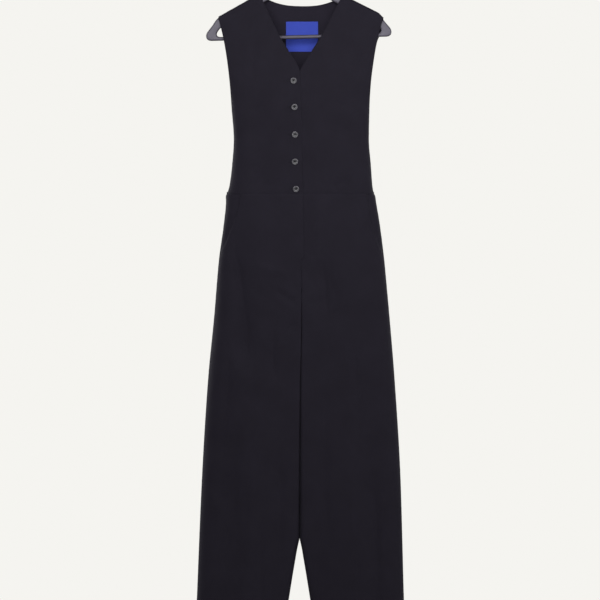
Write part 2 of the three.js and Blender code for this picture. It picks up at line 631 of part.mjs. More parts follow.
// The hook, a round rod that rises from the collar, swings out and turns over the rail.
function hangerHook() {
  const radius = HOOK_INNER_RADIUS + HOOK_WIRE_RADIUS;
  const points = [
    new THREE.Vector3(0, 0, SEAM_GAP - COLLAR_TOP),
    new THREE.Vector3(0, 0, 5 - COLLAR_TOP),
    new THREE.Vector3(6, 0, 12 - COLLAR_TOP),
  ];
  for (let angle = -50; angle <= 190; angle += 20) {
    const turn = THREE.MathUtils.degToRad(angle);
    points.push(new THREE.Vector3(radius * Math.cos(turn), 0, radius * Math.sin(turn) - HOOK_INNER_RADIUS));
  }
  const section = new THREE.Shape().absarc(0, 0, HOOK_WIRE_RADIUS, 0, 2 * Math.PI);
  const geometry = new THREE.ExtrudeGeometry(section, {
    extrudePath: new THREE.CatmullRomCurve3(points),
    curveSegments: HOOK_SIDES,
    steps: HOOK_STEPS,
  });
  return named("hanger_hook", geometry, HANGER_LOOK);
}

const overEdge = (down) => read(OVER_EDGE, "x", down);
const jumpsuit = new THREE.Group();
jumpsuit.add(
  bodiceFront("bodice_front_over", "left", OVER_EDGE),
  bodiceFront("bodice_front_under", "right", UNDER_EDGE, underLapSetBack(overEdge)),
  bodiceBack(),
  trouserPanel("trouser_front_over", "front", "left", "over"),
  trouserPanel("trouser_front_under", "front", "right", "under"),
  trouserPanel("trouser_back_left", "back", "left"),
  trouserPanel("trouser_back_right", "back", "right"),
  pocketSide("pocket_side_left", "left"),
  pocketSide("pocket_side_right", "right"),
  neckLabel(),
);
BUTTONS.forEach((row, i) => jumpsuit.add(button(`button_${i + 1}`, row)));

const hanger = new THREE.Group();
hanger.rotation.y = -HANGER_TILT;
hanger.add(hangerFrame(), hangerHook());

const part = new THREE.Group();
part.add(jumpsuit, hanger);
export default part;
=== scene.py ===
# %% [markdown]
# A dark sleeveless jumpsuit hangs on a grey plastic hanger. The solids that carry its sizes are loaded
# first and stay where they are. Everything below is made in the same frame, in metres, with the origin at
# the top of the hook's inside, +X to the viewer's right and the front towards -Y.

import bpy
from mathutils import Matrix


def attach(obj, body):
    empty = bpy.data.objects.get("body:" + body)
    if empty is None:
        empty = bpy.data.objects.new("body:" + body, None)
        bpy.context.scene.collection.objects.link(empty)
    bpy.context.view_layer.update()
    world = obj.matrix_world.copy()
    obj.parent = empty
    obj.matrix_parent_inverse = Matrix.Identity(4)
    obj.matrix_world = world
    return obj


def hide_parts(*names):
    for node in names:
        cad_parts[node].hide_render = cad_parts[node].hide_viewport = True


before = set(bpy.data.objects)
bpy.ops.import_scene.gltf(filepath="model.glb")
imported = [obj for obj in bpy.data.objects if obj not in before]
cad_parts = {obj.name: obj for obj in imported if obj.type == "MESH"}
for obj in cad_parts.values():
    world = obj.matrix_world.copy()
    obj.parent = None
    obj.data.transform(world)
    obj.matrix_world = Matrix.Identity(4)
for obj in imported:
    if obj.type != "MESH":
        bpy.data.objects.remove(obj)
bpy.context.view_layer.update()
print("solids:", sorted(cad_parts))

import math

import bmesh
import bpy
import numpy as np
from mathutils import Matrix, Vector
from mathutils.bvhtree import BVHTree

MM = 0.001


# %% Small helpers
def table(columns, *rows):
    """rows of values under named columns"""
    return [dict(zip(columns.split(), row)) for row in rows]


def placed(name, data):
    """a new object of some data, linked to the scene"""
    made = bpy.data.objects.new(name, data)
    bpy.context.collection.objects.link(made)
    return made


def mesh_from(bm, name):
    mesh = bpy.data.meshes.new(name)
    bm.to_mesh(mesh)
    bm.free()
    return mesh


def baked(holder):
    """the mesh that an object shows, once its curve or modifiers have done their work, without the object"""
    mesh = bpy.data.meshes.new_from_object(holder.evaluated_get(bpy.context.evaluated_depsgraph_get()))
    bpy.data.objects.remove(holder)
    return mesh


# %% [markdown]
# The photograph is taken level and from far away with a long lens, so the garment looks almost flat. Its
# picture is a square whose side covers 1.44 m of the plane that the garment hangs in. The hook and the hems
# lie just outside.

# %% Camera
PICTURE_SIDE = 1.44
CAMERA_DISTANCE = 20.0
CAMERA_X = 0.0082
CAMERA_DOWN = 0.8544
SENSOR = 36.0

lens = bpy.data.cameras.new("camera")
lens.sensor_width = SENSOR
lens.lens = SENSOR * CAMERA_DISTANCE / PICTURE_SIDE
lens.clip_end = 100
camera = placed("camera", lens)
camera.location = (CAMERA_X, -CAMERA_DISTANCE, -CAMERA_DOWN)
camera.rotation_euler = (math.radians(90), 0, 0)
bpy.context.scene.camera = camera
print("focal length", round(lens.lens, 1), "mm")

# %% [markdown]
# The garment's form is written down as a dressmaker would measure it: half widths either side of its centre
# line, and how far front and back stand from the hanger's plane, row by row down the body, in millimetres.
# A height is "down", the distance below the hook's inside. The sizes are the solids' own, apart from what
# is finer here: thinner cloth, closer seams, smaller inner corners of the legs, a deeper pocket piece, and
# an eased right shoulder.

# %% Sizes of the garment
CLOTH = 1.5
SEAM_GAP = 0.12
LAP = 2.4
GARMENT_X = 10.6
V_FOOT = 305
UNDERARM = 394
WAIST = 600
CROTCH = 883
HEM = 1637
BODICE = table(
    "down left right front back",
    (175, 198.5, 197.5, 38, 43),
    (235, 184.8, 182.4, 39, 45),
    (278, 177.8, 175.0, 41, 47),
    (336, 171.1, 167.8, 43, 50),
    (394, 166.6, 164.4, 44, 52),
    (470, 161.3, 163.0, 42, 51),
    (528, 165.1, 167.5, 43, 53),
    (582, 172.0, 171.6, 44.5, 55),
    (600, 177.6, 174.8, 45, 56),
)
SECTION_POWER = 3
NECK_HALF_WIDTH = 100.8
BACK_NECK_DROP = 27.5
BACK_NECK_POWER = 2.6
SHOULDER_ROUND = 8
SHOULDER_EASE = 100
SIDE_ROUND_START = 60
SIDE_ROUND_LENGTH = 120
ARMHOLE_FLARE = 16
ARMHOLE_FLARE_LENGTH = 120
OVER_EDGE = table(
    "down x",
    (119, -100.8),
    (142, -88.8),
    (223, -50.4),
    (257, -29.5),
    (305, -3.6),
    (330, -1.6),
    (374, 0),
    (458, 2.4),
    (600, 5.2),
)
UNDER_EDGE = table(
    "down x",
    (122, 100.8),
    (142, 89.4),
    (218, 50),
    (242, 35.5),
    (257, 25.5),
    (305, -3.6),
    (362, -33.6),
    (600, -33.6),
)
FRONT_ROWS = table(
    "centre side",
    (150, 200),
    (180, 228),
    (212, 258),
    (243, 290),
    (274, 320),
    (305, 348),
    (330, 372),
    (362, 394),
    (400, 425),
    (440, 460),
    (480, 495),
    (520, 530),
    (560, 565),
    (590, 590),
)
TROUSERS = table(
    "down left right front back corner power pivot",
    (600, 178.6, 175.8, 45, 56, 0, 3, 0),
    (606, 180.5, 178.4, 46, 57, 0, 3, 0),
    (616, 180.1, 179.8, 46, 57, 0, 3, 0),
    (672, 185.3, 189.0, 47, 61, 0, 2.9, 0.1),
    (758, 197.0, 199.9, 48, 66, 0, 2.7, 0.25),
    (820, 202.5, 205.8, 48, 67, 0, 2.55, 0.36),
    (883, 207.5, 211.5, 48, 66, 2, 2.4, 0.44),
    (1046, 223.2, 224.9, 46, 57, 5, 2.3, 0.5),
    (1277, 237.6, 238.8, 42, 50, 10, 2.3, 0.5),
    (1572, 250.1, 247.2, 38, 43, 24, 2.3, 0.5),
    (1637, 252.7, 249.6, 37, 41, 29, 2.3, 0.5),
)
BETWEEN_LEGS = table(
    "down line half",
    (785, 0, 0.15),
    (883, 0.7, 0.3),
    (1094, -2.4, 0.3),
    (1426, -3.6, 0.4),
    (1450, -3.6, 5.4),
    (1514, -3.6, 16.3),
    (1572, -3.6, 25.6),
    (1637, -3.6, 36),
)
CROTCH_CURVE_TOP = 820
CROTCH_CURVE_POWER = 1.5
CORNER_SHARE = 0.8
FLY_EDGES = table(
    "down over under",
    (600, 5.2, -33.6),
    (735, 7.6, -28),
    (749, 7.9, -19),
    (757, -0.15, -14),
    (785, -0.15, 0.15),
)
FLY_CLOSED = 785
FLY_BLEND_FOOT = 840
POCKET_MOUTH = table(
    "down left right",
    (600, 148, 160),
    (631, 150, 162),
    (650, 156, 165),
    (686, 169, 173),
    (718, 181, 184),
    (749, 195, 197.8),
    (757, 240, 240),
)
POCKET_CLOSED = 757
POCKET_FOOT = 753
POCKET_UNDERLAP = 9
MOUTH_FOOT = 749
POCKET_SINK_TOP = 712
POCKET_SINK_FOOT = 748
POCKET_EDGE = 3
LAP_LEVEL = 6
LAP_BLEND = 26
HANGER_TILT = math.radians(1.4)
ARM_SLOPE = math.radians(28)
CLOTH_RIDGE_TOP = 67.4
TIP_DROOP = {"start": 184, "end": 198, "drop": 5.5}
BACK_ARMHOLE_EASE = {"down": 203, "reach": 18, "width": 8}


# %% Curves through the tables
def smooth(t):
    t = np.clip(t, 0, 1)
    return t * t * (3 - 2 * t)


def column(table, name, key="down"):
    """heights and values of one column of a table, as arrays"""
    return np.array([row[key] for row in table], float), np.array([row[name] for row in table], float)


def read(table, name, down):
    """one column of a table at some heights, on a smooth curve that never overshoots its rows"""
    heights, values = column(table, name)
    slopes = np.diff(values) / np.diff(heights)
    tangents = np.concatenate([slopes[:1], np.zeros(len(slopes) - 1), slopes[-1:]])
    same_way = slopes[:-1] * slopes[1:] > 0
    both = 2 * slopes[:-1] * slopes[1:] / np.where(same_way, slopes[:-1] + slopes[1:], 1)
    tangents[1:-1] = np.where(same_way, both, 0)
    down = np.clip(np.asarray(down, float), heights[0], heights[-1])
    i = np.clip(np.searchsorted(heights, down, side="right") - 1, 0, len(slopes) - 1)
    span = heights[i + 1] - heights[i]
    t = (down - heights[i]) / span
    rise = values[i + 1] - values[i]
    bend = t * (1 - t) * ((1 - t) * (tangents[i] * span - rise) - t * (tangents[i + 1] * span - rise))
    return values[i] + t * rise + bend


def read_straight(table, name, down):
    return np.interp(down, *column(table, name))


# %% [markdown]
# Hanging cloth is never smooth. Long soft folds fall from the hips and knees, and short creases fan out
# where the cloth is held, at the waist seam, the fly's foot and the crotch. Each is placed as one row of a
# table: the line that it follows, its half width and its depth, and for a crease also how far that line bows
# sideways. A crease is steeper on one side than on the other, as real ones are. Fifteen of the first table's
# folds are in the solids too, shallower than here. The others and all the creases are only here.

# %% Folds
FOLDS = table(
    "face from to width depth",
    ("front", (-158, 650), (-128, 1060), 30, 7.5),
    ("front", (-64, 870), (-60, 1110), 28, 5),
    ("front", (46, 730), (66, 960), 26, 5.5),
    ("front", (150, 820), (158, 1250), 32, 5.5),
    ("front", (-96, 1060), (-118, 2150), 34, -7),
    ("front", (105, 1120), (122, 2150), 34, -6),
    ("front", (-168, 1080), (-196, 2100), 25, 6),
    ("front", (-44, 1190), (-58, 2200), 24, 5),
    ("front", (50, 1150), (44, 2100), 26, 5.5),
    ("front", (172, 1140), (190, 2200), 25, 6),
    ("front", (-105, 330), (-80, 700), 34, 4.5),
    ("front", (112, 300), (86, 680), 34, 4.5),
    ("back", (-150, 640), (-126, 1240), 32, 11),
    ("back", (-62, 900), (-78, 2150), 30, 10),
    ("back", (70, 870), (58, 2200), 31, 11),
    ("back", (152, 680), (138, 1330), 29, 9.5),
    ("back", (-120, 1180), (-132, 2200), 27, -7),
    ("back", (112, 1240), (124, 2150), 28, -7.5),
    ("back", (-186, 980), (-204, 2100), 23, 8),
    ("back", (188, 1010), (202, 2200), 22, 7.5),
    ("back", (-92, 250), (-66, 760), 30, 9),
    ("back", (86, 270), (96, 740), 28, 8),
    ("back", (8, 330), (-8, 640), 42, 6),
)
FOLD_FADE = 0.25
CREASES = table(
    "face from to bow width depth",
    ("front", (-168, 688), (-127, 1015), -9, 11, 3.4),
    ("front", (-62, 905), (-58, 1075), 5, 10, 2.2),
    ("front", (48, 760), (62, 905), -6, 9, 2.7),
    ("front", (-122, 775), (-22, 800), -7, 12, -1.9),
    ("front", (-132, 588), (-80, 540), 4, 9, 1.6),
    ("front", (-40, 560), (-92, 592), -3, 8, 1.2),
    ("front", (64, 586), (124, 552), 5, 10, 1.5),
    ("front", (-12, 862), (-66, 822), -5, 9, 2.1),
    ("front", (14, 866), (74, 836), 6, 10, 1.9),
    ("front", (-8, 905), (-48, 965), 6, 11, 1.8),
    ("front", (18, 760), (60, 712), -5, 9, 1.5),
    ("front", (-146, 1120), (-160, 1420), 8, 15, 2.5),
    ("front", (-52, 1180), (-60, 1560), -6, 15, 2.2),
    ("front", (60, 1060), (66, 1500), 7, 16, 2.5),
    ("front", (168, 1240), (182, 1610), -7, 14, 2.4),
    ("front", (-130, 402), (-70, 372), 5, 12, 1.8),
    ("front", (128, 398), (76, 366), -5, 12, 1.5),
    ("front", (-100, 200), (-118, 330), 6, 13, 1.6),
    ("front", (108, 205), (124, 318), -5, 13, 1.4),
    ("back", (-150, 640), (-112, 900), 10, 13, 4.7),
    ("back", (142, 650), (104, 880), -9, 12, 4.0),
    ("back", (-14, 872), (-86, 806), -8, 11, 4.3),
    ("back", (16, 876), (92, 818), 8, 12, 4.0),
    ("back", (-10, 846), (-64, 770), -6, 10, 2.9),
    ("back", (12, 850), (58, 782), 6, 10, 2.6),
    ("back", (-44, 960), (-56, 1330), -9, 14, 4.3),
    ("back", (48, 940), (44, 1290), 8, 13, 4.0),
    ("back", (-172, 1010), (-182, 1500), 9, 16, 4.0),
    ("back", (178, 1060), (186, 1560), -8, 16, 3.7),
    ("back", (-118, 1380), (-124, 1625), 4, 15, -3.4),
    ("back", (122, 1340), (118, 1620), -5, 15, -3.1),
    ("back", (-120, 300), (-96, 470), 8, 13, 3.4),
    ("back", (118, 290), (100, 500), -8, 14, 3.1),
    ("back", (-136, 470), (-52, 548), 7, 11, 3.1),
    ("back", (134, 482), (60, 556), -7, 11, 2.8),
    ("back", (-60, 585), (-18, 530), 4, 10, 2.2),
    ("back", (34, 196), (46, 300), -4, 14, 2.2),
    ("back", (-40, 200), (-52, 320), 4, 14, 2.0),
    ("front", (-176, 930), (-196, 1290), -8, 13, 2.6),
    ("front", (132, 930), (146, 1190), 7, 12, 2.1),
    ("front", (-96, 1330), (-84, 1800), 6, 13, 2.2),
    ("front", (126, 1390), (138, 1840), -6, 14, 2.2),
    ("back", (-150, 1290), (-166, 1820), -9, 13, 3.4),
    ("back", (-96, 980), (-90, 1400), 8, 12, 3.0),
    ("back", (104, 1010), (96, 1370), -7, 12, 2.8),
    ("back", (152, 1330), (168, 1840), 8, 13, 3.3),
    ("back", (-30, 1400), (-38, 1860), 5, 11, 2.6),
    ("back", (34, 1350), (28, 1830), -5, 11, 2.7),
    ("back", (-18, 352), (-46, 540), 8, 12, 2.4),
    ("back", (150, 612), (70, 640), -6, 11, 2.0),
)
STEEP_SIDE = 0.6
CREASE_STEPS = 10
CREASE_FADE_IN = 0.3
CREASE_FADE_OUT = 0.35


def fold_depth(face, x, down):
    """how far the large folds push a face of the garment in"""
    total = np.zeros(np.broadcast(x, down).shape)
    for fold in FOLDS:
        if fold["face"] != face:
            continue
        (from_x, from_down), (to_x, to_down) = fold["from"], fold["to"]
        along = (down - from_down) / (to_down - from_down)
        fade = smooth(along / FOLD_FADE) * smooth((1 - along) / FOLD_FADE)
        across = (x - from_x - (to_x - from_x) * np.clip(along, 0, 1)) / fold["width"]
        total += fold["depth"] * fade * np.exp(-(across**2))
    return total


def crease_depth(face, x, down):
    """how far the small creases push it in, each a soft trough along a bowed line, steeper on one side"""
    total = np.zeros(x.shape)
    for crease in CREASES:
        if crease["face"] != face:
            continue
        start, end = np.array(crease["from"], float), np.array(crease["to"], float)
        run = end - start
        length = np.hypot(*run)
        sideways = np.array([-run[1], run[0]]) / length
        nearest = np.full(x.shape, np.inf)
        offset = np.zeros(x.shape)
        along = np.zeros(x.shape)
        for step in range(CREASE_STEPS):
            share = (step + 0.5) / CREASE_STEPS
            middle = start + run * share + sideways * crease["bow"] * 4 * share * (1 - share)
            dx, dd = x - middle[0], down - middle[1]
            lengthwise = (dx * run[0] + dd * run[1]) / length
            half = length / CREASE_STEPS / 2
            past = lengthwise - np.clip(lengthwise, -half, half)
            aside = dx * sideways[0] + dd * sideways[1]
            far = np.hypot(aside, past)
            closer = far < nearest
            nearest = np.where(closer, far, nearest)
            offset = np.where(closer, aside, offset)
            along = np.where(closer, share + (lengthwise - past) / length, along)
        width = np.where(offset > 0, crease["width"], crease["width"] * STEEP_SIDE)
        fade = smooth(along / CREASE_FADE_IN) * smooth((1 - along) / CREASE_FADE_OUT)
        total += crease["depth"] * fade * np.exp(-((nearest / width) ** 2))
    return total


# %% [markdown]
# No two hands of cloth lie alike, so a slow unevenness of well under a millimetre runs over every panel. It
# is a sum of sine waves whose lengths share no common measure, so it never visibly repeats and is the same
# at each run.

# %% Unevenness
UNEVEN = table(
    "across down phase height",
    (0.061, 0.023, 0.4, 0.46),
    (-0.037, 0.047, 1.9, 0.38),
    (0.113, 0.071, 3.1, 0.18),
    (-0.171, 0.109, 5.2, 0.09),
)


def unevenness(x, down):
    waves = [
        wave["height"] * np.sin(wave["across"] * x + wave["down"] * down + wave["phase"]) for wave in UNEVEN
    ]
    return sum(waves)


# %% [markdown]
# The bodice is a flattened tube that hangs from the hanger's two sloping arms. Its depth at any point comes
# from the body's section, a curve between an ellipse and a box, eased off towards the shoulder line, where
# the cloth folds closely over the arm. Above the underarm the front and back edges gape a little and make
# the armhole. The right shoulder reaches past the straight part of the arm, so its tip droops.


# %% Form of the bodice
def shoulder_line(x):
    """height of the shoulder line above a point of the garment"""
    apex = CLOTH_RIDGE_TOP * math.sin(HANGER_TILT)
    from_apex = x + GARMENT_X - apex
    slope = np.where(from_apex < 0, math.tan(ARM_SLOPE + HANGER_TILT), math.tan(ARM_SLOPE - HANGER_TILT))
    droop = smooth((x - TIP_DROOP["start"]) / (TIP_DROOP["end"] - TIP_DROOP["start"])) * TIP_DROOP["drop"]
    return CLOTH_RIDGE_TOP + np.abs(from_apex) * slope + droop


def half_width(table, x, down):
    return np.where(x < 0, read(table, "left", down), read(table, "right", down))


def bodice_depth(face, x, down):
    gape = np.where(down < UNDERARM, ARMHOLE_FLARE * smooth((UNDERARM - down) / ARMHOLE_FLARE_LENGTH), 0)
    reach = np.minimum(np.abs(x) / (half_width(BODICE, x, down) + gape), 1)
    roundness = (1 - reach**SECTION_POWER) ** (1 / SECTION_POWER)
    below = np.maximum(down - shoulder_line(x), 0)
    tucked = np.minimum(below, SHOULDER_ROUND)
    over_arm = np.sqrt(tucked * (2 * SHOULDER_ROUND - tucked))
    held = 1 + (roundness - 1) * smooth((below - SIDE_ROUND_START) / SIDE_ROUND_LENGTH)
    fallen = 1 - np.exp(-np.maximum(below - SHOULDER_ROUND, 0) / SHOULDER_EASE)
    full = read(BODICE, face, down) - SHOULDER_ROUND
    return over_arm * held + (full * fallen - fold_depth(face, x, down)) * roundness


def back_top(x):
    """top edge of the back: the shoulder lines, and the neckline that dips between them"""
    reach = np.minimum(np.abs(x) / NECK_HALF_WIDTH, 1)
    ends = shoulder_line(np.array([-NECK_HALF_WIDTH, NECK_HALF_WIDTH]))
    between = ends[0] + (ends[1] - ends[0]) * (x / NECK_HALF_WIDTH + 1) / 2
    neckline = between + BACK_NECK_DROP * (1 - reach**BACK_NECK_POWER)
    return np.where(np.abs(x) >= NECK_HALF_WIDTH, shoulder_line(x), neckline)


# %% [markdown]
# Each row of a panel is a fine line of points, laid from one edge to the other, and then shared out again
# at even steps along its own length. A few steps close to each edge are much shorter, so that a seam can
# sink in and an edge can turn over within two or three millimetres. Rows and columns together make a grid,
# and the grid's distances from its four edges say where to dip the cloth for a seam.

# %% Rows of points
FINE = 160
EDGE_STEPS = np.array([0, 0.5, 1.1, 1.9, 3.0, 4.6, 7.0])
TUCKED_STEPS = np.array([0, 2.0, 3.6, 4.5, 5.3, 6.1, 7.0, 8.2, 10.0])
TUCK_UP = 5.0
TUCK_SINK = 2.5
TUCK_RISE = 2.0
TUCK_RISE_LENGTH = 2.4
TUCK_CLEAR = 3
SPREAD_POWER = 0.8
TUCK_PATH = [(0.0, 1.0), (-0.35, 0.42), (-1.1, 0.18), (-2.2, 0.05), (-2.5, -0.7), (-2.5, -4.4)]


def lengths_along(line):
    steps = np.linalg.norm(np.diff(line, axis=0), axis=1)
    return np.concatenate([[0], np.cumsum(steps)])


def shared_out(line, columns, first=EDGE_STEPS, last=EDGE_STEPS):
    """the line's points again, short steps at both ends and even ones between"""
    reached = lengths_along(line)
    whole = reached[-1]
    fit = min(1, whole / (4 * max(first[-1], last[-1])))
    even = np.linspace(first[-1] * fit, whole - last[-1] * fit, columns)[1:-1]
    wanted = np.concatenate([first * fit, even, whole - last[::-1] * fit])
    return np.stack([np.interp(wanted, reached, line[:, k]) for k in range(line.shape[1])], axis=1)


def tucked(line, sign, share=1.0, towards=-1):
    """a back's row, drawn on at its last point behind the front's edge, as a seam allowance lies"""
    if share <= 0:
        return line
    x, _, z = line[-1]
    turn = [(x + sign * inward * share, along * share * -towards, z) for inward, along in TUCK_PATH]
    keep = np.abs(line[:, 1]) > TUCK_PATH[0][1] * share
    keep |= np.abs(line[:, 0] - x) > TUCK_CLEAR
    return np.vstack([line[keep], turn])


def garment_point(face, x, depth, down):
    away = np.maximum(depth, SEAM_GAP / 2)
    return np.stack([x + GARMENT_X, -away if face == "front" else away, -down], axis=-1)


def heights_between(top, foot, step):
    """heights from the tuck above the waist seam to the foot, close together at both ends"""
    first = top - TUCK_UP + TUCKED_STEPS
    even = np.arange(first[-1], foot - EDGE_STEPS[-1], step)[1:]
    return np.concatenate([first, even, foot - EDGE_STEPS[::-1]])


SHOULDER_ANGLES = np.radians(np.arange(0, 91, 10))
ROW_STEP = 6.0
SIDE_SEWN_BELOW = 4
SIDE_SEWN_LENGTH = 16


def bodice_front_rows(side, edge, columns):
    sign = -1 if side == "left" else 1
    rows = []
    spread = np.sin(np.linspace(0, math.pi / 2, FINE)) ** SPREAD_POWER

    def line(centre_x, outer_x, down_at):
        x = centre_x + (outer_x - centre_x) * spread
        down = down_at(x, spread)
        return shared_out(garment_point("front", x, bodice_depth("front", x, down), down), columns)

    tip = sign * float(read(BODICE, side, 0))
    neck = float(shoulder_line(np.array(sign * NECK_HALF_WIDTH)))
    for below in SHOULDER_ROUND * (1 - np.cos(SHOULDER_ANGLES)):
        centre = float(read(edge, "x", neck + below))
        rows.append(line(centre, tip, lambda x, _: shoulder_line(x) + below))
    first = {"centre": neck + SHOULDER_ROUND, "side": float(shoulder_line(np.array(tip))) + SHOULDER_ROUND}
    table = [first] + FRONT_ROWS
    places = np.linspace(0, len(table) - 1, int((WAIST - first["side"]) / ROW_STEP))[1:]
    centres = np.interp(places, range(len(table)), [row["centre"] for row in table])
    sides = np.interp(places, range(len(table)), [row["side"] for row in table])
    last = WAIST - SEAM_GAP / 2 - EDGE_STEPS[::-1]
    for centre, outer in zip(np.concatenate([centres, last]), np.concatenate([sides, last])):
        rows.append(
            line(
                float(read(edge, "x", centre)),
                sign * float(read(BODICE, side, outer)),
                lambda x, share: centre + (outer - centre) * share,
            )
        )
    return np.array(rows)


def bodice_back_rows(columns):
    across = np.sin(np.linspace(-math.pi / 2, math.pi / 2, 2 * FINE + 1))
    tops = back_top(across * half_width(BODICE, across, 0))

    def line(down_of):
        side_down = np.where(across < 0, down_of(tops[0]), down_of(tops[-1]))
        from_middle = (side_down - BACK_ARMHOLE_EASE["down"]) / BACK_ARMHOLE_EASE["reach"]
        ease = np.where(across > 0, BACK_ARMHOLE_EASE["width"] * np.exp(-(from_middle**2)), 0)
        x = across * (half_width(BODICE, across, side_down) + ease)
        down = down_of(tops)
        points = garment_point("back", x, bodice_depth("back", x, down), down)
        sewn = float(smooth((down[-1] - UNDERARM - SIDE_SEWN_BELOW) / SIDE_SEWN_LENGTH))
        points = tucked(points, 1, sewn)
        points = tucked(points[::-1], -1, sewn)[::-1]
        return shared_out(points, columns, TUCKED_STEPS, TUCKED_STEPS)

    rows = [line(lambda top: top + below) for below in SHOULDER_ROUND * (1 - np.cos(SHOULDER_ANGLES))]
    foot = WAIST - SEAM_GAP / 2
    even = int((WAIST - tops[0]) / ROW_STEP)
    near_foot = 1 - EDGE_STEPS[::-1] / (foot - tops[0] - SHOULDER_ROUND)
    shares = np.concatenate([np.linspace(0, near_foot[0], even)[1:-1], near_foot])
    for share in shares:
        rows.append(line(lambda top: top + SHOULDER_ROUND + (foot - top - SHOULDER_ROUND) * share))
    return np.array(rows)


# %% [markdown]
# A trouser leg's section runs from the inner seam, round a small corner, flat across the front and round to
# the side seam. Above the crotch the two legs share one section, so the inner wall shrinks away along the
# curve of the crotch seam. The over front stops at the slant pocket's mouth, where the cloth inside the
# pocket shows.


# %% Form of the trousers
CORNER_ANGLES = np.radians(np.arange(0, 91, 9))
NEAR = 0.01


def trouser_line(face, side, down):
    sign = -1 if side == "left" else 1
    depth = float(read(TROUSERS, face, down))
    outer = sign * float(read(TROUSERS, side, down))
    inner = float(read(BETWEEN_LEGS, "line", down)) + sign * float(read_straight(BETWEEN_LEGS, "half", down))
    power = float(read(TROUSERS, "power", down))
    pivot = inner + (outer - inner) * float(read(TROUSERS, "pivot", down))
    turned = min(max((down - CROTCH_CURVE_TOP) / (CROTCH - CROTCH_CURVE_TOP), 0), 1)
    wall = depth * turned**CROTCH_CURVE_POWER
    corner = min(float(read(TROUSERS, "corner", down)), wall * CORNER_SHARE)
    points = [(inner, depth - wall)]
    if wall > 0:
        corner_x = inner + sign * corner * (1 - np.cos(CORNER_ANGLES))
        points += list(zip(corner_x, depth - corner * (1 - np.sin(CORNER_ANGLES))))
    turn = np.radians(np.linspace(0, 90, FINE))
    x = pivot + (outer - pivot) * np.sin(turn) ** (2 / power)
    stand = depth * np.maximum(np.cos(turn), 0) ** (2 / power)
    keep = np.abs(x - inner) > corner
    points += list(zip(x[keep], stand[keep]))
    return np.array(points)


def cut_line(points, start, end, sign):
    """the same line, cut or drawn out to another start and end"""
    key = points[:, 0] * sign
    order = np.argsort(key, kind="stable")
    ends = np.interp([start * sign, end * sign], key[order], points[order, 1])
    inside = points[(key > start * sign + NEAR) & (key < end * sign - NEAR)]
    return np.vstack([[start, ends[0]], inside, [end, ends[1]]])


LEG_SWAY = 1.1
LEG_SWAY_DEPTH = 24
LEG_SWAY_REACH = 14
LEGS_TOUCH = {"start": 735, "rise": 45, "end": 1400, "fall": 70}


def leg_sway(x, y, down):
    """where the legs touch, both inner walls lean together, so that no light passes between them"""
    meet = smooth((down - LEGS_TOUCH["start"]) / LEGS_TOUCH["rise"])
    touching = meet * (1 - smooth((down - LEGS_TOUCH["end"]) / LEGS_TOUCH["fall"]))
    from_line = (x - float(read(BETWEEN_LEGS, "line", down))) / LEG_SWAY_REACH
    return -LEG_SWAY * touching * np.tanh(y / LEG_SWAY_DEPTH) * np.exp(-(from_line**2))


def leg_points(face, line, down):
    flat = np.clip(line[:, 1] / float(read(TROUSERS, face, down)), 0, 1)
    depth = line[:, 1] - fold_depth(face, line[:, 0], down) * flat
    side = -1 if face == "front" else 1
    x = line[:, 0] + leg_sway(line[:, 0], side * depth, down)
    return garment_point(face, x, depth, np.full(len(line), float(down)))


def mouth_at(side, down):
    return float(read_straight(POCKET_MOUTH, side, down))


WALL_LEAST = 6.0
WALL_COLUMNS = 9
INSEAM_SEWN_BELOW = 8
INSEAM_SEWN_LENGTH = 20
POCKET_ROW_STEP = 5


def corner_place(line, down):
    """which point of the line lies in the middle of the corner from a leg's inner wall to its face"""
    corner = float(read(TROUSERS, "corner", down))
    on_wall = np.abs(line[:, 0] - line[0, 0]) <= corner * (1 - math.cos(math.pi / 4)) + NEAR
    return int(np.where(on_wall)[0][-1]) if down > CROTCH_CURVE_TOP else 0


def shared_from_corner(line, corner_at, columns, ends):
    """the line's points again, short steps at both ends and on both sides of the corner"""
    reached = lengths_along(line)
    whole = reached[-1]
    split = max(corner_at, WALL_LEAST)
    first = ends * min(1, split / (2 * ends[-1]))
    wall = first[-1] + (split - first[-1]) * np.sin(np.linspace(0, math.pi / 2, WALL_COLUMNS))[1:]
    face = split + EDGE_STEPS[1:]
    last = whole - ends[::-1]
    even = np.linspace(face[-1], last[0], columns)[1:-1]
    wanted = np.concatenate([first, wall, face, even, last])
    return np.stack([np.interp(wanted, reached, line[:, k]) for k in range(line.shape[1])], axis=1)


def trouser_rows(face, side, fly_edge, columns):
    sign = -1 if side == "left" else 1
    ends = EDGE_STEPS if face == "front" else TUCKED_STEPS
    rows = []
    for down in heights_between(WAIST + SEAM_GAP / 2, HEM, ROW_STEP):
        line = trouser_line(face, side, down)
        start, end = line[0, 0], line[-1, 0]
        if fly_edge and down < FLY_CLOSED:
            start = float(read_straight(FLY_EDGES, fly_edge, down))
        if face == "front" and down < POCKET_CLOSED and mouth_at(side, down) < abs(end):
            end = sign * mouth_at(side, down)
        if (start, end) != (line[0, 0], line[-1, 0]):
            line = cut_line(line, start, end, sign)
        points = leg_points(face, line, down)
        corner = points[corner_place(line, down)]
        if face == "back":
            points = tucked(points, sign)
            sewn = float(smooth((down - CROTCH - INSEAM_SEWN_BELOW) / INSEAM_SEWN_LENGTH))
            points = tucked(points[::-1], -sign, sewn)[::-1]
        nearest = np.argmin(np.linalg.norm(points - corner, axis=1))
        rows.append(shared_from_corner(points, lengths_along(points)[nearest], columns, ends))
    return np.array(rows)


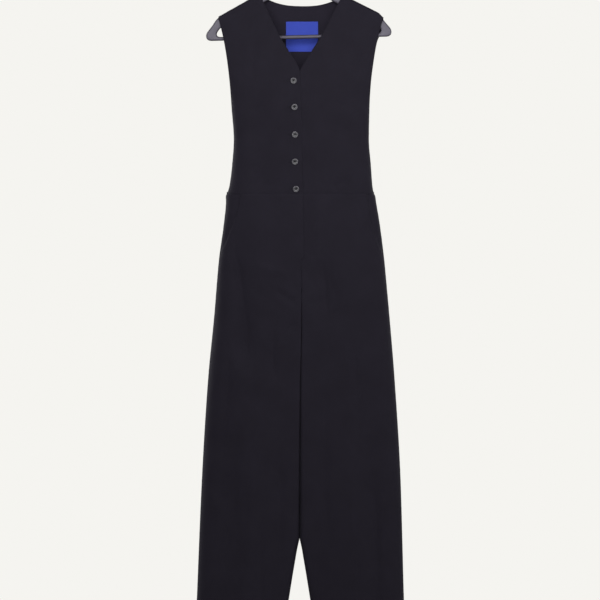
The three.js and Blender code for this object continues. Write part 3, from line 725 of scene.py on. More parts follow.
def pocket_rows(side, columns):
    sign = -1 if side == "left" else 1
    rows = []
    for down in heights_between(WAIST + SEAM_GAP / 2, POCKET_FOOT, POCKET_ROW_STEP):
        line = trouser_line("front", side, down)
        outer = line[-1, 0]
        start = sign * (min(mouth_at(side, down), abs(outer)) - POCKET_UNDERLAP)
        line = cut_line(line, start, outer, sign)
        rows.append(shared_out(leg_points("front", line, down), columns))
    return np.array(rows)


# %% [markdown]
# One function turns rows of points into cloth. It starts from Blender's own flat grid, so the faces and
# their order are never written by hand, moves each corner of the grid to its place, and gives the cloth its
# thickness with Solidify, inward, and a small Bevel round the cut edges. The UV map holds real distances
# along and across the cloth, so that the weave keeps its size over every fold.

# %% Cloth from rows of points
SEAM_DIP = 0.55
SEAM_WIDTH = 1.8
WAIST_SHARE = 0.3
TURN_DIP = 0.7
TURN_WIDTH = 1.3
PUCKER_HEIGHT = 0.28
PUCKER_LENGTH = 23.0
PUCKER_WIDTH = 9.0
PUCKER_DRIFT = 1.7
PUCKER_DRIFT_LENGTH = 31
KIND_CHANGE = 8
CREASE_CLEAR = 26
CUT_EDGE_ROUND = 0.3
cloth_sheets = {}
cloth_cuts = {}


class Sheet:
    """a panel's outer face: places, normals and distances from its edges, all in millimetres"""

    def __init__(self, rows, face):
        self.face = face
        self.place = rows
        across = np.gradient(rows, axis=1)
        along = np.gradient(rows, axis=0)
        normal = np.cross(across, along)
        normal /= np.linalg.norm(normal, axis=2, keepdims=True)
        middle = normal[rows.shape[0] // 2, rows.shape[1] // 2, 1]
        out = -1 if (middle > 0) == (face == "front") else 1
        self.normal = normal * out
        steps_across = np.linalg.norm(np.diff(rows, axis=1), axis=2)
        steps_along = np.linalg.norm(np.diff(rows, axis=0), axis=2)
        self.across = np.pad(np.cumsum(steps_across, axis=1), ((0, 0), (1, 0)))
        self.along = np.pad(np.cumsum(steps_along, axis=0), ((1, 0), (0, 0)))
        self.from_edge = {
            "start": self.across,
            "end": self.across[:, -1:] - self.across,
            "top": self.along,
            "foot": self.along[-1:] - self.along,
        }

    def area(self):
        across = np.diff(self.place, axis=1)[:-1]
        along = np.diff(self.place, axis=0)[:, :-1]
        return np.linalg.norm(np.cross(across, along), axis=2).sum()

    def sink(self, depth):
        self.place = self.place - self.normal * np.asarray(depth)[..., None]

    def run(self, edge, inset, between=(0, 1e9)):
        """places and normals of a line that keeps so far from an edge, between two heights"""
        grids = [self.place, self.normal]
        reached = self.across
        if edge in ("top", "foot"):
            grids = [grid.swapaxes(0, 1) for grid in grids]
            reached = self.along.T
        places, normals = [], []
        for i in range(len(reached)):
            down = -float(grids[0][i, 0 if edge in ("start", "top") else -1, 2])
            if not between[0] <= down <= between[1]:
                continue
            away = inset(down) if callable(inset) else inset
            wanted = away if edge in ("start", "top") else reached[i, -1] - away
            place, normal = (
                [np.interp(wanted, reached[i], grid[i, :, k]) for k in range(3)] for grid in grids
            )
            places.append(place)
            normals.append(normal / np.linalg.norm(normal))
        return np.array(places), np.array(normals)


def finish_edges(sheet, edges):
    """seams sink and pucker, the pressed waist seam less, and turned edges roll over
    a height in place of a kind parts a turned edge from a seam below it"""
    dip = np.zeros(sheet.place.shape[:2])
    for name, kind in edges.items():
        distance = sheet.from_edge[name]
        run = sheet.along if name in ("start", "end") else sheet.across
        if kind == "tucked":
            continue
        seam_share = {"seam": 1.0, "waist": 1.0, "turned": 0.0}.get(kind)
        if seam_share is None:
            seam_share = smooth((-sheet.place[..., 2] - kind) / KIND_CHANGE + 0.5)
        drift = PUCKER_DRIFT * np.sin(run / PUCKER_DRIFT_LENGTH)
        pucker = np.sin(run * 2 * math.pi / PUCKER_LENGTH + drift)
        seam = SEAM_DIP * np.exp(-((distance / SEAM_WIDTH) ** 2))
        seam = seam + PUCKER_HEIGHT * pucker * np.exp(-distance / PUCKER_WIDTH)
        if kind == "waist":
            seam = seam * WAIST_SHARE
        if kind == FLY_CLOSED:
            seam = seam * np.abs(sheet.normal[..., 1])
        turned = TURN_DIP * np.exp(-((distance / TURN_WIDTH) ** 2))
        dip += seam * seam_share + turned * (1 - seam_share)
    sheet.sink(dip)


def grid_mesh(name, sheet):
    """a flat grid from Blender, its corners moved to the sheet's places, with a UV map in metres of cloth"""
    rows, columns = sheet.place.shape[:2]
    bm = bmesh.new()
    bmesh.ops.create_grid(bm, x_segments=columns - 1, y_segments=rows - 1, size=1)
    uv = bm.loops.layers.uv.new("cloth")
    place_of = {}
    for vertex in bm.verts:
        c = round((vertex.co.x + 1) / 2 * (columns - 1))
        r = round((1 - vertex.co.y) / 2 * (rows - 1))
        place_of[vertex] = (r, c)
    for vertex, (r, c) in place_of.items():
        vertex.co = Vector(sheet.place[r, c] * MM)
    for polygon in bm.faces:
        for loop in polygon.loops:
            r, c = place_of[loop.vert]
            loop[uv].uv = (sheet.across[r, c] * MM, -sheet.along[r, c] * MM)
        polygon.smooth = True
    bm.normal_update()
    centre = Vector(sheet.place[rows // 2, columns // 2] * MM)
    middle = min(bm.faces, key=lambda polygon: (polygon.calc_center_median() - centre).length)
    if middle.normal.dot(Vector(sheet.normal[rows // 2, columns // 2])) < 0:
        bmesh.ops.reverse_faces(bm, faces=bm.faces[:])
    return mesh_from(bm, name)


def add_object(name, mesh, finishes):
    """a piece of the object with its materials, riding on the one body"""
    piece = placed(name, mesh)
    mesh.materials.clear()
    for finish in finishes:
        mesh.materials.append(materials[finish])
    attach(piece, "root")
    return piece


def thicken(piece, thickness, rounding):
    solid = piece.modifiers.new("thickness", "SOLIDIFY")
    solid.thickness = thickness * MM
    solid.offset = -1
    solid.use_even_offset = False
    solid.material_offset = len(piece.data.materials) - 1
    bevel = piece.modifiers.new("cut edges", "BEVEL")
    bevel.width = rounding * MM
    bevel.segments = 2
    bevel.limit_method = "ANGLE"
    bevel.angle_limit = math.radians(60)
    bevel.harden_normals = False


def cloth_panel(name, node, rows, face, edges, set_back=None):
    """one panel of the garment, standing for the solid of the same piece, with its flat cut measured"""
    sheet = Sheet(rows, face)
    area = sheet.area()
    widest = sheet.across[:, -1].max()
    longest = sheet.along[-1].max()
    if set_back is not None:
        sheet.sink(set_back(sheet.place[..., 0] - GARMENT_X, -sheet.place[..., 2]))
    inside_edges = np.minimum.reduce(list(sheet.from_edge.values()))
    x, down = sheet.place[..., 0] - GARMENT_X, -sheet.place[..., 2]
    free = smooth(inside_edges / CREASE_CLEAR) * np.abs(sheet.normal[..., 1])
    sheet.sink((crease_depth(face, x, down) + unevenness(x, down)) * free)
    if edges["top"] == "tucked":
        sheet.sink(TUCK_SINK * (1 - smooth((-sheet.place[..., 2] - WAIST + TUCK_RISE) / TUCK_RISE_LENGTH)))
    finish_edges(sheet, edges)
    cloth_sheets[name] = sheet
    # The inner shell takes the wrong side, painted lighter against the shade inside the garment.
    piece = add_object(name, grid_mesh(name, sheet), ["cloth", "cloth inside, painted lighter"])
    thicken(piece, CLOTH, CUT_EDGE_ROUND)
    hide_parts(node)
    cloth_cuts[name] = {"piece": piece, "width": widest, "length": longest, "area": area}
    print(name, "cut", round(widest), "x", round(longest), "mm, area", round(area / 1e6, 4), "m2")
    return piece


# %% [markdown]
# Shader maths reads best as sums. A small class wraps a socket, so that adding or multiplying two of them
# places the Math node, and one method adds every other kind of node with its settings and its inputs.


# %% Helpers for materials
class Wire:
    """one output of a node, which can be added to, taken from, multiplied and waved"""

    def __init__(self, paint, socket):
        self.paint = paint
        self.socket = socket

    def maths(self, operation, first, second=0.0):
        return self.paint.add("Math", {0: first, 1: second}, operation=operation)

    def __add__(self, other):
        return self.maths("ADD", self, other)

    __radd__ = __add__

    def __sub__(self, other):
        return self.maths("SUBTRACT", self, other)

    def __rsub__(self, other):
        return self.maths("SUBTRACT", other, self)

    def __mul__(self, other):
        return self.maths("MULTIPLY", self, other)

    __rmul__ = __mul__

    def sine(self):
        return self.maths("SINE", self)

    def size(self):
        return self.maths("ABSOLUTE", self)


class Paint:
    """a material and the nodes that make it"""

    def __init__(self, name):
        self.material = bpy.data.materials.new(name)
        self.material.use_nodes = True
        self.tree = self.material.node_tree
        self.shader = self.tree.nodes["Principled BSDF"]

    def feed(self, socket, value):
        if isinstance(value, Wire):
            self.tree.links.new(value.socket, socket)
        else:
            socket.default_value = value

    def add(self, kind, sockets=None, output=0, stops=None, **settings):
        node = self.tree.nodes.new("ShaderNode" + kind)
        for key, value in settings.items():
            setattr(node, key, value)
        for stop, (position, level) in zip(node.color_ramp.elements if stops else [], stops or []):
            stop.position = position
            stop.color = (level, level, level, 1)
        for key, value in (sockets or {}).items():
            self.feed(node.inputs[key], value)
        return Wire(self, node.outputs[output])

    def ramp(self, value, low, high):
        """0 below low, 1 above high"""
        return self.add("MapRange", {"Value": value, "From Min": low, "From Max": high})

    def mix(self, share, first, second, way="MIX"):
        """two colours mixed, added or multiplied, each of them a wire or three levels"""
        ends = [end if isinstance(end, Wire) else (*end, 1) for end in (first, second)]
        sockets = {0: share, 6: ends[0], 7: ends[1]}
        return self.add("Mix", sockets, output=2, data_type="RGBA", blend_type=way)

    def bump(self, height, strength, distance, under=None):
        sockets = {"Height": height, "Strength": strength, "Distance": distance}
        if under is not None:
            sockets["Normal"] = under
        return self.add("Bump", sockets)

    def finish(self, **sockets):
        for name, value in sockets.items():
            self.feed(self.shader.inputs[name.replace("_", " ")], value)
        return self.material


# %% [markdown]
# The cloth is a close crepe twill of a very dark navy. Seen close, its yarns stand in fine slanting ribs
# with a pebbled surface, a little lighter on top of each yarn than in the gaps. Seen from a step away the
# ribs melt into an even, soft surface that catches light only where it turns away at the sides, which a
# little sheen gives.

# %% Cloth material
YARN = 0.62 * MM
RIB = 1.3 * MM


def cloth_material(name, lightness):
    paint = Paint(name)
    uv = paint.add("UVMap", uv_map="cloth")
    u = paint.add("SeparateXYZ", {0: uv}, output=0)
    v = paint.add("SeparateXYZ", {0: uv}, output=1)
    wander = paint.add("TexNoise", {"Vector": uv, "Scale": 900.0, "Detail": 2.0})
    warp = (u * (2 * math.pi / YARN) + wander * 2.2).sine()
    weft = (v * (2 * math.pi / YARN) - wander * 2.0).sine()
    rib = ((u + v) * (2 * math.pi / RIB) + wander * 1.4).sine()
    yarns = (warp * weft * 0.35 + rib * 0.4 + 0.5) * 0.7 + wander * 0.3
    patches = paint.add("TexNoise", {"Vector": uv, "Scale": 16.0, "Detail": 4.0, "Roughness": 0.6})
    flecks = paint.add("TexNoise", {"Vector": uv, "Scale": 420.0, "Detail": 1.0})
    ground = paint.mix(paint.ramp(yarns, 0.1, 0.9), (0.0082, 0.0068, 0.0118), (0.0167, 0.0142, 0.0222))
    worn = paint.mix(paint.ramp(patches, 0.3, 0.75), (0.0, 0.0, 0.0), (0.0024, 0.0022, 0.0034))
    colour = paint.mix(1.0, ground, worn, "ADD")
    lint = paint.ramp(flecks, 0.79, 0.84) * 0.25
    colour = paint.mix(lint, colour, (0.07, 0.07, 0.085))
    colour = paint.mix(1.0, colour, (lightness,) * 3, "MULTIPLY")
    slow = paint.bump(patches, 0.12, 0.5 * MM)
    return paint.finish(
        Base_Color=colour,
        Roughness=0.86 - yarns * 0.14,
        Specular_IOR_Level=0.12,
        Sheen_Weight=0.03,
        Sheen_Roughness=0.5,
        Sheen_Tint=(0.75, 0.75, 0.9, 1),
        Normal=paint.bump(yarns, 0.5, 0.10 * MM, under=slow),
    )


# %% [markdown]
# Sewing thread matches the cloth but is smoother, so stitches show as fine glints rather than as another
# colour. The strands of its twist run round each stitch.


# %% Thread, label, button and hanger materials
def thread_material(name, dark, light, roughness):
    paint = Paint(name)
    place = paint.add("TexCoord", output=3)
    wave = {"Vector": place, "Scale": 900.0, "Distortion": 0.6}
    twist = paint.add("TexWave", wave, bands_direction="DIAGONAL")
    return paint.finish(
        Base_Color=paint.mix(twist, dark, light),
        Roughness=roughness - twist * 0.1,
        Specular_IOR_Level=0.2,
        Normal=paint.bump(twist, 0.5, 0.08 * MM),
    )


def label_material():
    paint = Paint("blue satin label")
    uv = paint.add("UVMap", uv_map="cloth")
    u = paint.add("SeparateXYZ", {0: uv}, output=0)
    v = paint.add("SeparateXYZ", {0: uv}, output=1)
    warp = (u * (2 * math.pi / (0.32 * MM))).sine() * 0.5 + 0.5
    weft = (v * (2 * math.pi / (0.5 * MM))).sine() * 0.5 + 0.5
    satin = warp * 0.6 + weft * 0.4
    cloudy = paint.add("TexNoise", {"Vector": uv, "Scale": 60.0, "Detail": 3.0})
    colour = paint.mix(satin, (0.040, 0.066, 0.43), (0.060, 0.102, 0.63))
    colour = paint.mix(cloudy * 0.35, colour, (0.038, 0.058, 0.34))
    return paint.finish(
        Base_Color=colour,
        Roughness=0.62 - satin * 0.12,
        Specular_IOR_Level=0.12,
        Sheen_Weight=0.02,
        Normal=paint.bump(satin, 0.35, 0.07 * MM),
    )


def button_material(name, lightness):
    paint = Paint(name)
    place = paint.add("TexCoord", output=3)
    cloud = paint.add("TexNoise", {"Vector": place, "Scale": 130.0, "Detail": 5.0, "Distortion": 1.6})
    vein = paint.add("TexNoise", {"Vector": place, "Scale": 340.0, "Detail": 3.0, "Distortion": 0.8})
    colour = paint.mix(paint.ramp(cloud, 0.35, 0.65), (0.040, 0.038, 0.045), (0.108, 0.104, 0.118))
    colour = paint.mix(paint.ramp(vein, 0.55, 0.7) * 0.5, colour, (0.20, 0.195, 0.21))
    colour = paint.mix(1.0, colour, (lightness,) * 3, "MULTIPLY")
    return paint.finish(
        Base_Color=colour,
        Roughness=0.24 + cloud * 0.16,
        Coat_Weight=0.25,
        Coat_Roughness=0.12,
        Normal=paint.bump(vein, 0.12, 0.15 * MM),
    )


# Painted shade on the hanger: its rounded sides, within these distances of the moulding's middle plane, are
# coloured darker.
SHADED_RIM_START = 3.2
SHADED_RIM_END = 4.7


def hanger_material():
    paint = Paint("grey moulded plastic")
    place = paint.add("TexCoord", output=3)
    grain = paint.add("TexNoise", {"Vector": place, "Scale": 1400.0, "Detail": 2.0})
    flow = paint.add("TexNoise", {"Vector": place, "Scale": 22.0, "Detail": 4.0, "Distortion": 0.7})
    scuffs = paint.add("TexNoise", {"Vector": place, "Scale": 260.0, "Detail": 6.0, "Roughness": 0.75})
    colour = paint.mix(paint.ramp(flow, 0.3, 0.75), (0.100, 0.091, 0.121), (0.125, 0.114, 0.150))
    colour = paint.mix(paint.ramp(scuffs, 0.62, 0.75) * 0.3, colour, (0.17, 0.162, 0.195))
    # Painted shade: near the middle plane, where the rounded edges turn away from the light, the grey goes
    # nearly black, so every edge of the arms, window, bar and ends gets a dark outline.
    from_middle = paint.add("SeparateXYZ", {0: place}, output=1).size()
    face = paint.ramp(from_middle, SHADED_RIM_START * MM, SHADED_RIM_END * MM)
    colour = paint.mix(1 - face, colour, (0.052, 0.048, 0.060))
    return paint.finish(
        Base_Color=colour,
        Specular_IOR_Level=0.35,
        Roughness=0.36 + scuffs * 0.2,
        Normal=paint.bump(grain, 0.25, 0.05 * MM, under=paint.bump(flow, 0.1, 0.4 * MM)),
    )


materials = {
    "cloth": cloth_material("navy crepe twill", 1.0),
    # The wrong side is the same twill 1.35 times lighter: painted light that lifts the shade inside the neck
    # and the other openings.
    "cloth inside, painted lighter": cloth_material("navy crepe twill, wrong side painted lighter", 1.35),
    "thread": thread_material("sewing thread", (0.009, 0.008, 0.0125), (0.018, 0.0165, 0.024), 0.78),
    "label": label_material(),
    "label thread": thread_material("blue sewing thread", (0.075, 0.095, 0.36), (0.115, 0.135, 0.46), 0.7),
    "button": button_material("smoky shell", 1.0),
    # The dished middle is the same shell at half the lightness: painted shade in the hollow round the holes.
    "button middle, painted shade": button_material("smoky shell, dished middle in painted shade", 0.5),
    "hanger": hanger_material(),
}
print("materials:", list(materials))

# %% [markdown]
# Now the panels are cut and sewn. Where two panels join, both edges sink into the seam. The neck, the
# armholes, the front edge, the pocket mouths and the hems are turned under, so those edges roll over
# instead. What lies under the buttoned edge or the fly sits one thickness of cloth further in, and rises
# back level a little way past it.


# %% Panels
COLUMNS = {"over": 46, "under": 52, "back": 90, "leg": 60, "pocket": 12}


def lap_set_back(edge_at, foot=None):
    def set_back(x, down):
        past = x - edge_at(down)
        lower = 1 if foot is None else 1 - smooth((down - foot) / (FLY_BLEND_FOOT - foot))
        return LAP * lower * (1 - smooth((past - LAP_LEVEL) / LAP_BLEND))

    return set_back


def pocket_set_back(side):
    sign = -1 if side == "left" else 1

    def set_back(x, down):
        mouth = read_straight(POCKET_MOUTH, side, down)
        past = x * sign - mouth
        room = np.maximum(read(TROUSERS, side, down) - mouth - POCKET_EDGE, 1)
        at_side = LAP * smooth((down - POCKET_SINK_TOP) / (POCKET_SINK_FOOT - POCKET_SINK_TOP))
        return LAP + (at_side - LAP) * smooth((past - POCKET_EDGE) / room)

    return set_back


bodice_edge = lap_set_back(lambda down: read(OVER_EDGE, "x", down))
fly_edge = lap_set_back(lambda down: read_straight(FLY_EDGES, "over", down), FLY_CLOSED)
top_seam = {"top": "seam", "foot": "waist"}
cloth_panel(
    "front_over", "bodice_front_over", bodice_front_rows("left", OVER_EDGE, COLUMNS["over"]), "front",
    {**top_seam, "start": "turned", "end": UNDERARM},
)
cloth_panel(
    "front_under", "bodice_front_under", bodice_front_rows("right", UNDER_EDGE, COLUMNS["under"]), "front",
    {**top_seam, "start": "turned", "end": UNDERARM}, bodice_edge,
)
cloth_panel(
    "back", "bodice_back", bodice_back_rows(COLUMNS["back"]), "back",
    {"foot": "waist", "top": "turned", "start": "tucked", "end": "tucked"},
)
front_leg = {"top": "tucked", "foot": "turned", "start": FLY_CLOSED, "end": MOUTH_FOOT}
back_leg = {"top": "tucked", "foot": "turned", "start": "tucked", "end": "tucked"}
for side, fly, set_back in (("left", "over", None), ("right", "under", fly_edge)):
    rows = trouser_rows("front", side, fly, COLUMNS["leg"])
    cloth_panel(f"leg_front_{fly}", f"trouser_front_{fly}", rows, "front", front_leg, set_back)
for side in ("left", "right"):
    rows = trouser_rows("back", side, None, COLUMNS["leg"])
    cloth_panel(f"leg_back_{side}", f"trouser_back_{side}", rows, "back", back_leg)
for side in ("left", "right"):
    cloth_panel(
        f"pocket_{side}", f"pocket_side_{side}", pocket_rows(side, COLUMNS["pocket"]), "front",
        {"top": "tucked", "end": "seam"}, pocket_set_back(side),
    )

# %% [markdown]
# What is sewn on sits on the cloth as it really lies, with every fold. A ray sent at a panel from in front
# or from behind finds the exact place and the way that the cloth faces there. Threads are thin tubes: many
# short curves with a round bevel, turned into one mesh at the end.


# %% Finding the cloth, and sewing with thread
RAY_START = -0.3


def cloth_finder(name):
    depsgraph = bpy.context.evaluated_depsgraph_get()
    return BVHTree.FromObject(bpy.data.objects[name], depsgraph)


def touch(finder, x, down, from_front=True):
    """place and outward normal of the cloth at a place of the garment, in millimetres"""
    start = Vector(((x + GARMENT_X) * MM, RAY_START if from_front else 0.0, -down * MM))
    place, normal, _, _ = finder.ray_cast(start, Vector((0, 1, 0)))
    if normal.y > 0:
        normal = -normal
    return np.array(place) / MM, np.array(normal)


def mesh_of_curves(name, runs, radius, sides=2, tapers=None):
    """one mesh of many thin round tubes, each through its own points"""
    curve = bpy.data.curves.new(name, "CURVE")
    curve.dimensions = "3D"
    curve.bevel_depth = radius * MM
    curve.bevel_resolution = sides
    curve.use_fill_caps = True
    for number, run in enumerate(runs):
        spline = curve.splines.new("POLY")
        spline.points.add(len(run) - 1)
        for i, (point, place) in enumerate(zip(spline.points, run)):
            point.co = (*(np.asarray(place) * MM), 1)
            point.radius = tapers[number][i] if tapers else 1
        spline.use_smooth = True
    mesh = baked(placed(name, curve))
    for polygon in mesh.polygons:
        polygon.use_smooth = True
    return mesh


STITCH_PITCH = 2.7
STITCH_LENGTH = 2.1
STITCH_RADIUS = 0.17
STITCH_SHARES = np.array([0.0, 0.12, 0.5, 0.88, 1.0])
STITCH_LIFTS = np.array([-0.3, 0.05, 0.13, 0.05, -0.3])
FIRST_STITCH = 0.6


def stitch_runs(places, normals, pitch=STITCH_PITCH, length=STITCH_LENGTH):
    """short arched tubes along a line on the cloth, their ends going down into it"""
    reached = lengths_along(places)
    runs = []
    for start in np.arange(FIRST_STITCH, reached[-1] - length, pitch):
        at = start + STITCH_SHARES * length
        place = np.stack([np.interp(at, reached, places[:, k]) for k in range(3)], axis=1)
        normal = np.stack([np.interp(at, reached, normals[:, k]) for k in range(3)], axis=1)
        runs.append(place + normal * STITCH_LIFTS[:, None])
    return runs


# %% [markdown]
# The seams themselves need no thread that shows, but the front edge, the neck, the armholes and the pocket
# mouths are held flat by a row of small stitches close to the edge, in thread of the cloth's own colour.
# The fly has the long row that gives it its J. Each panel's stitches are one mesh.

# %% Rows of stitches
EDGE_STITCH = 2.2
FLY_STITCH_WIDTH = 33
FLY_STITCH_TURN = 700
FLY_STITCH_FOOT = 775
ARMHOLE_STITCHES = (186, UNDERARM - 8)
NECK_STITCH_TOP = 128
TROUSER_STITCH_TOP = 606
FLY_EDGE_STITCH_FOOT = 745
MOUTH_STITCH_FOOT = 744


def fly_stitch_inset(down):
    past = min(max((down - FLY_STITCH_TURN) / (FLY_STITCH_FOOT - FLY_STITCH_TURN), 0), 1)
    return max(FLY_STITCH_WIDTH * math.sqrt(max(1 - past**2.2, 0)), 0.6)


def sew(name, rows_of_stitches, finish="thread", radius=STITCH_RADIUS):
    runs = [run for row in rows_of_stitches for run in row]
    piece = add_object(name, mesh_of_curves(name, runs, radius, sides=1), [finish])
    print(name, len(runs), "stitches")
    return piece


over, under, back = cloth_sheets["front_over"], cloth_sheets["front_under"], cloth_sheets["back"]
leg_over, leg_under = cloth_sheets["leg_front_over"], cloth_sheets["leg_front_under"]
sew("stitches_front_over", [
    stitch_runs(*over.run("start", EDGE_STITCH, (NECK_STITCH_TOP, WAIST - 4))),
    stitch_runs(*over.run("end", EDGE_STITCH, ARMHOLE_STITCHES)),
])
sew("stitches_front_under", [
    stitch_runs(*under.run("start", EDGE_STITCH, (NECK_STITCH_TOP, V_FOOT + 6))),
    stitch_runs(*under.run("end", EDGE_STITCH, ARMHOLE_STITCHES)),
])
neck_places, neck_normals = back.run("top", EDGE_STITCH)
in_neck = np.abs(neck_places[:, 0] - GARMENT_X) < NECK_HALF_WIDTH - 3
sew("stitches_back", [
    stitch_runs(neck_places[in_neck], neck_normals[in_neck]),
    stitch_runs(*back.run("start", EDGE_STITCH, ARMHOLE_STITCHES)),
    stitch_runs(*back.run("end", EDGE_STITCH, ARMHOLE_STITCHES)),
])
sew("stitches_fly", [
    stitch_runs(*leg_over.run("start", fly_stitch_inset, (TROUSER_STITCH_TOP, FLY_STITCH_FOOT))),
    stitch_runs(*leg_over.run("start", EDGE_STITCH, (TROUSER_STITCH_TOP, FLY_EDGE_STITCH_FOOT))),
])
mouth_stitches = (TROUSER_STITCH_TOP, MOUTH_STITCH_FOOT)
for side, leg in (("left", leg_over), ("right", leg_under)):
    sew(f"stitches_pocket_{side}", [stitch_runs(*leg.run("end", EDGE_STITCH, mouth_stitches))])

# %% [markdown]
# A bar tack is a dense little block of zigzag thread that keeps a pocket mouth or a fly from tearing. It is
# a row of fine threads laid side by side across a few longer ones.

# %% Bar tacks
TACK_LENGTH = 7.0
TACK_WIDTH = 2.0
TACK_THREADS = 15
TACK_RADIUS = 0.2
TACK_SLANT = 0.25
TACK_SEARCH = 12
FLY_TACK = {"inset": 3.0, "down": 774, "lengthwise": (1.0, 0, 0.35)}
MOUTH_ENDS = (611, 737)
MOUTH_TACK_INSET = 2.4


def frame_at(normal, lengthwise):
    """unit vectors along and across the cloth at a place with this normal"""
    along = lengthwise - normal * np.dot(lengthwise, normal)
    along = along / np.linalg.norm(along)
    return along, np.cross(normal, along)


def block_of_threads(place, normal, lengthwise, length, width, threads, lift=0.16):
    """threads side by side across a line, each one arched from edge to edge"""
    along, across = frame_at(normal, lengthwise)
    runs = []
    for i, step in enumerate(np.linspace(-0.5, 0.5, threads)):
        slant = TACK_SLANT * (-1) ** i
        shape = [(-0.5, -0.35), (-0.42, lift * 0.4), (0, lift), (0.42, lift * 0.4), (0.5, -0.35)]
        runs.append([
            place + along * (step * length + slant * share) + across * share * width + normal * up
            for share, up in shape
        ])
    return runs


def tack(sheet, edge, inset, down, lengthwise=None):
    """one tack on a sheet, along its edge unless another direction is given"""
    places, normals = sheet.run(edge, inset, (down - TACK_SEARCH, down + TACK_SEARCH))
    middle = len(places) // 2
    way = places[-1] - places[0] if lengthwise is None else np.array(lengthwise)
    return block_of_threads(places[middle], normals[middle], way, TACK_LENGTH, TACK_WIDTH, TACK_THREADS)


def mouth_tacks(sheet):
    return [tack(sheet, "end", MOUTH_TACK_INSET, down) for down in MOUTH_ENDS]


fly_tack = tack(leg_over, "start", **FLY_TACK)
sew("bar_tacks_left", [fly_tack, *mouth_tacks(leg_over)], radius=TACK_RADIUS)
sew("bar_tacks_right", mouth_tacks(leg_under), radius=TACK_RADIUS)

# %% [markdown]
# Five round buttons of smoky shell close the front. A button is turned on a lathe: one profile, with a
# raised rim and a dished middle, is spun round the axis. Four holes are drilled through it with a Boolean,
# and dark thread crosses from hole to hole. Behind each one lies its buttonhole, edged with close stitches.

# %% Buttons
BUTTONS = table(
    "down x turn",
    (328.8, -18.0, 20),
    (392.4, -15.6, -35),
    (458.4, -14.4, 8),
    (523.2, -14.4, 50),
    (588.7, -12.0, -12),
)
BUTTON_PROFILE = [
    (0.0, 1.75),
    (2.6, 1.80),
    (3.7, 2.00),
    (4.45, 2.45),
    (4.95, 2.95),
    (5.5, 3.17),
    (6.2, 3.20),
    (6.85, 3.00),
    (7.3, 2.55),
    (7.5, 1.95),
    (7.42, 1.3),
    (7.0, 0.75),
    (6.2, 0.35),
    (4.8, 0.12),
    (0.0, 0.0),
]
HOLE_RADIUS = 0.95
HOLE_FROM_MIDDLE = 1.45
DISH_RADIUS = 4.5
DISH_HEIGHT = 1.0
HOLE_SIDES = 14
DRILL_LENGTH = 8
DRILL_MIDDLE = 1.5
SEAT_REACH = 6
SEAT_SINK = 0.15
THREAD_BOW = [
    (-1, -0.2), (-1, 1.5), (-0.86, 1.98), (-0.4, 2.2), (0, 2.26),
    (0.4, 2.2), (0.86, 1.98), (1, 1.5), (1, -0.2),
]
THREAD_ASIDE = 0.24
THREAD_STACK = 0.22
BUTTON_THREAD_RADIUS = 0.24
BUTTON_STEPS = 48


def lathe(name, profile, steps):
    """a profile of radius and height spun right round the Z axis, in metres"""
    bm = bmesh.new()
    chain = [bm.verts.new((radius * MM, 0, height * MM)) for radius, height in profile]
    edges = [bm.edges.new(pair) for pair in zip(chain, chain[1:])]
    bmesh.ops.spin(
        bm, geom=chain + edges, cent=(0, 0, 0), axis=(0, 0, 1), angle=2 * math.pi, steps=steps,
        use_merge=True,
    )
    bmesh.ops.remove_doubles(bm, verts=bm.verts[:], dist=1e-6)
    bmesh.ops.recalc_face_normals(bm, faces=bm.faces[:])
    for polygon in bm.faces:
        polygon.smooth = True
    return mesh_from(bm, name)


def hole_drills(name):
    bm = bmesh.new()
    for turn in np.radians([45, 135, 225, 315]):
        x, y = HOLE_FROM_MIDDLE * math.cos(turn) * MM, HOLE_FROM_MIDDLE * math.sin(turn) * MM
        bmesh.ops.create_cone(
            bm, cap_ends=True, segments=HOLE_SIDES, radius1=HOLE_RADIUS * MM, radius2=HOLE_RADIUS * MM,
            depth=DRILL_LENGTH * MM, matrix=Matrix.Translation((x, y, DRILL_MIDDLE * MM)),
        )
    return mesh_from(bm, name)


def drilled(mesh, drills):
    body = placed("turning", mesh)
    cutter = placed("drills", drills)
    cut = body.modifiers.new("holes", "BOOLEAN")
    cut.operation = "DIFFERENCE"
    cut.object = cutter
    cut.solver = "EXACT"
    result = baked(body)
    bpy.data.objects.remove(cutter)
    return result


blank_button = drilled(lathe("button", BUTTON_PROFILE, BUTTON_STEPS), hole_drills("drills"))
over_finder = cloth_finder("front_over")


def button_seat(row):
    """the matrix that sets a button on the cloth, facing forward and turned a little in its own plane"""
    around = [(0, 0), (SEAT_REACH, 0), (-SEAT_REACH, 0), (0, SEAT_REACH), (0, -SEAT_REACH)]
    stands = [touch(over_finder, row["x"] + dx, row["down"] + dd)[0][1] for dx, dd in around]
    place = Vector(((row["x"] + GARMENT_X) * MM, (min(stands) - SEAT_SINK) * MM, -row["down"] * MM))
    facing = Matrix.Rotation(math.radians(90), 4, "X")
    return Matrix.Translation(place) @ facing @ Matrix.Rotation(math.radians(row["turn"]), 4, "Z")


def button_thread(seat):
    """two threads each way, crossing over the dished middle and going down the holes"""
    runs = []
    for turn in (45, 135):
        along = np.array([math.cos(math.radians(turn)), math.sin(math.radians(turn)), 0])
        beside = np.array([-along[1], along[0], 0])
        higher = THREAD_STACK if turn == 135 else 0
        for aside in (-THREAD_ASIDE, THREAD_ASIDE):
            run = [
                along * share * HOLE_FROM_MIDDLE + beside * aside + np.array([0, 0, up + higher])
                for share, up in THREAD_BOW
            ]
            runs.append([np.array(seat @ Vector(point * MM)) / MM for point in run])
    return runs


seats = [button_seat(row) for row in BUTTONS]
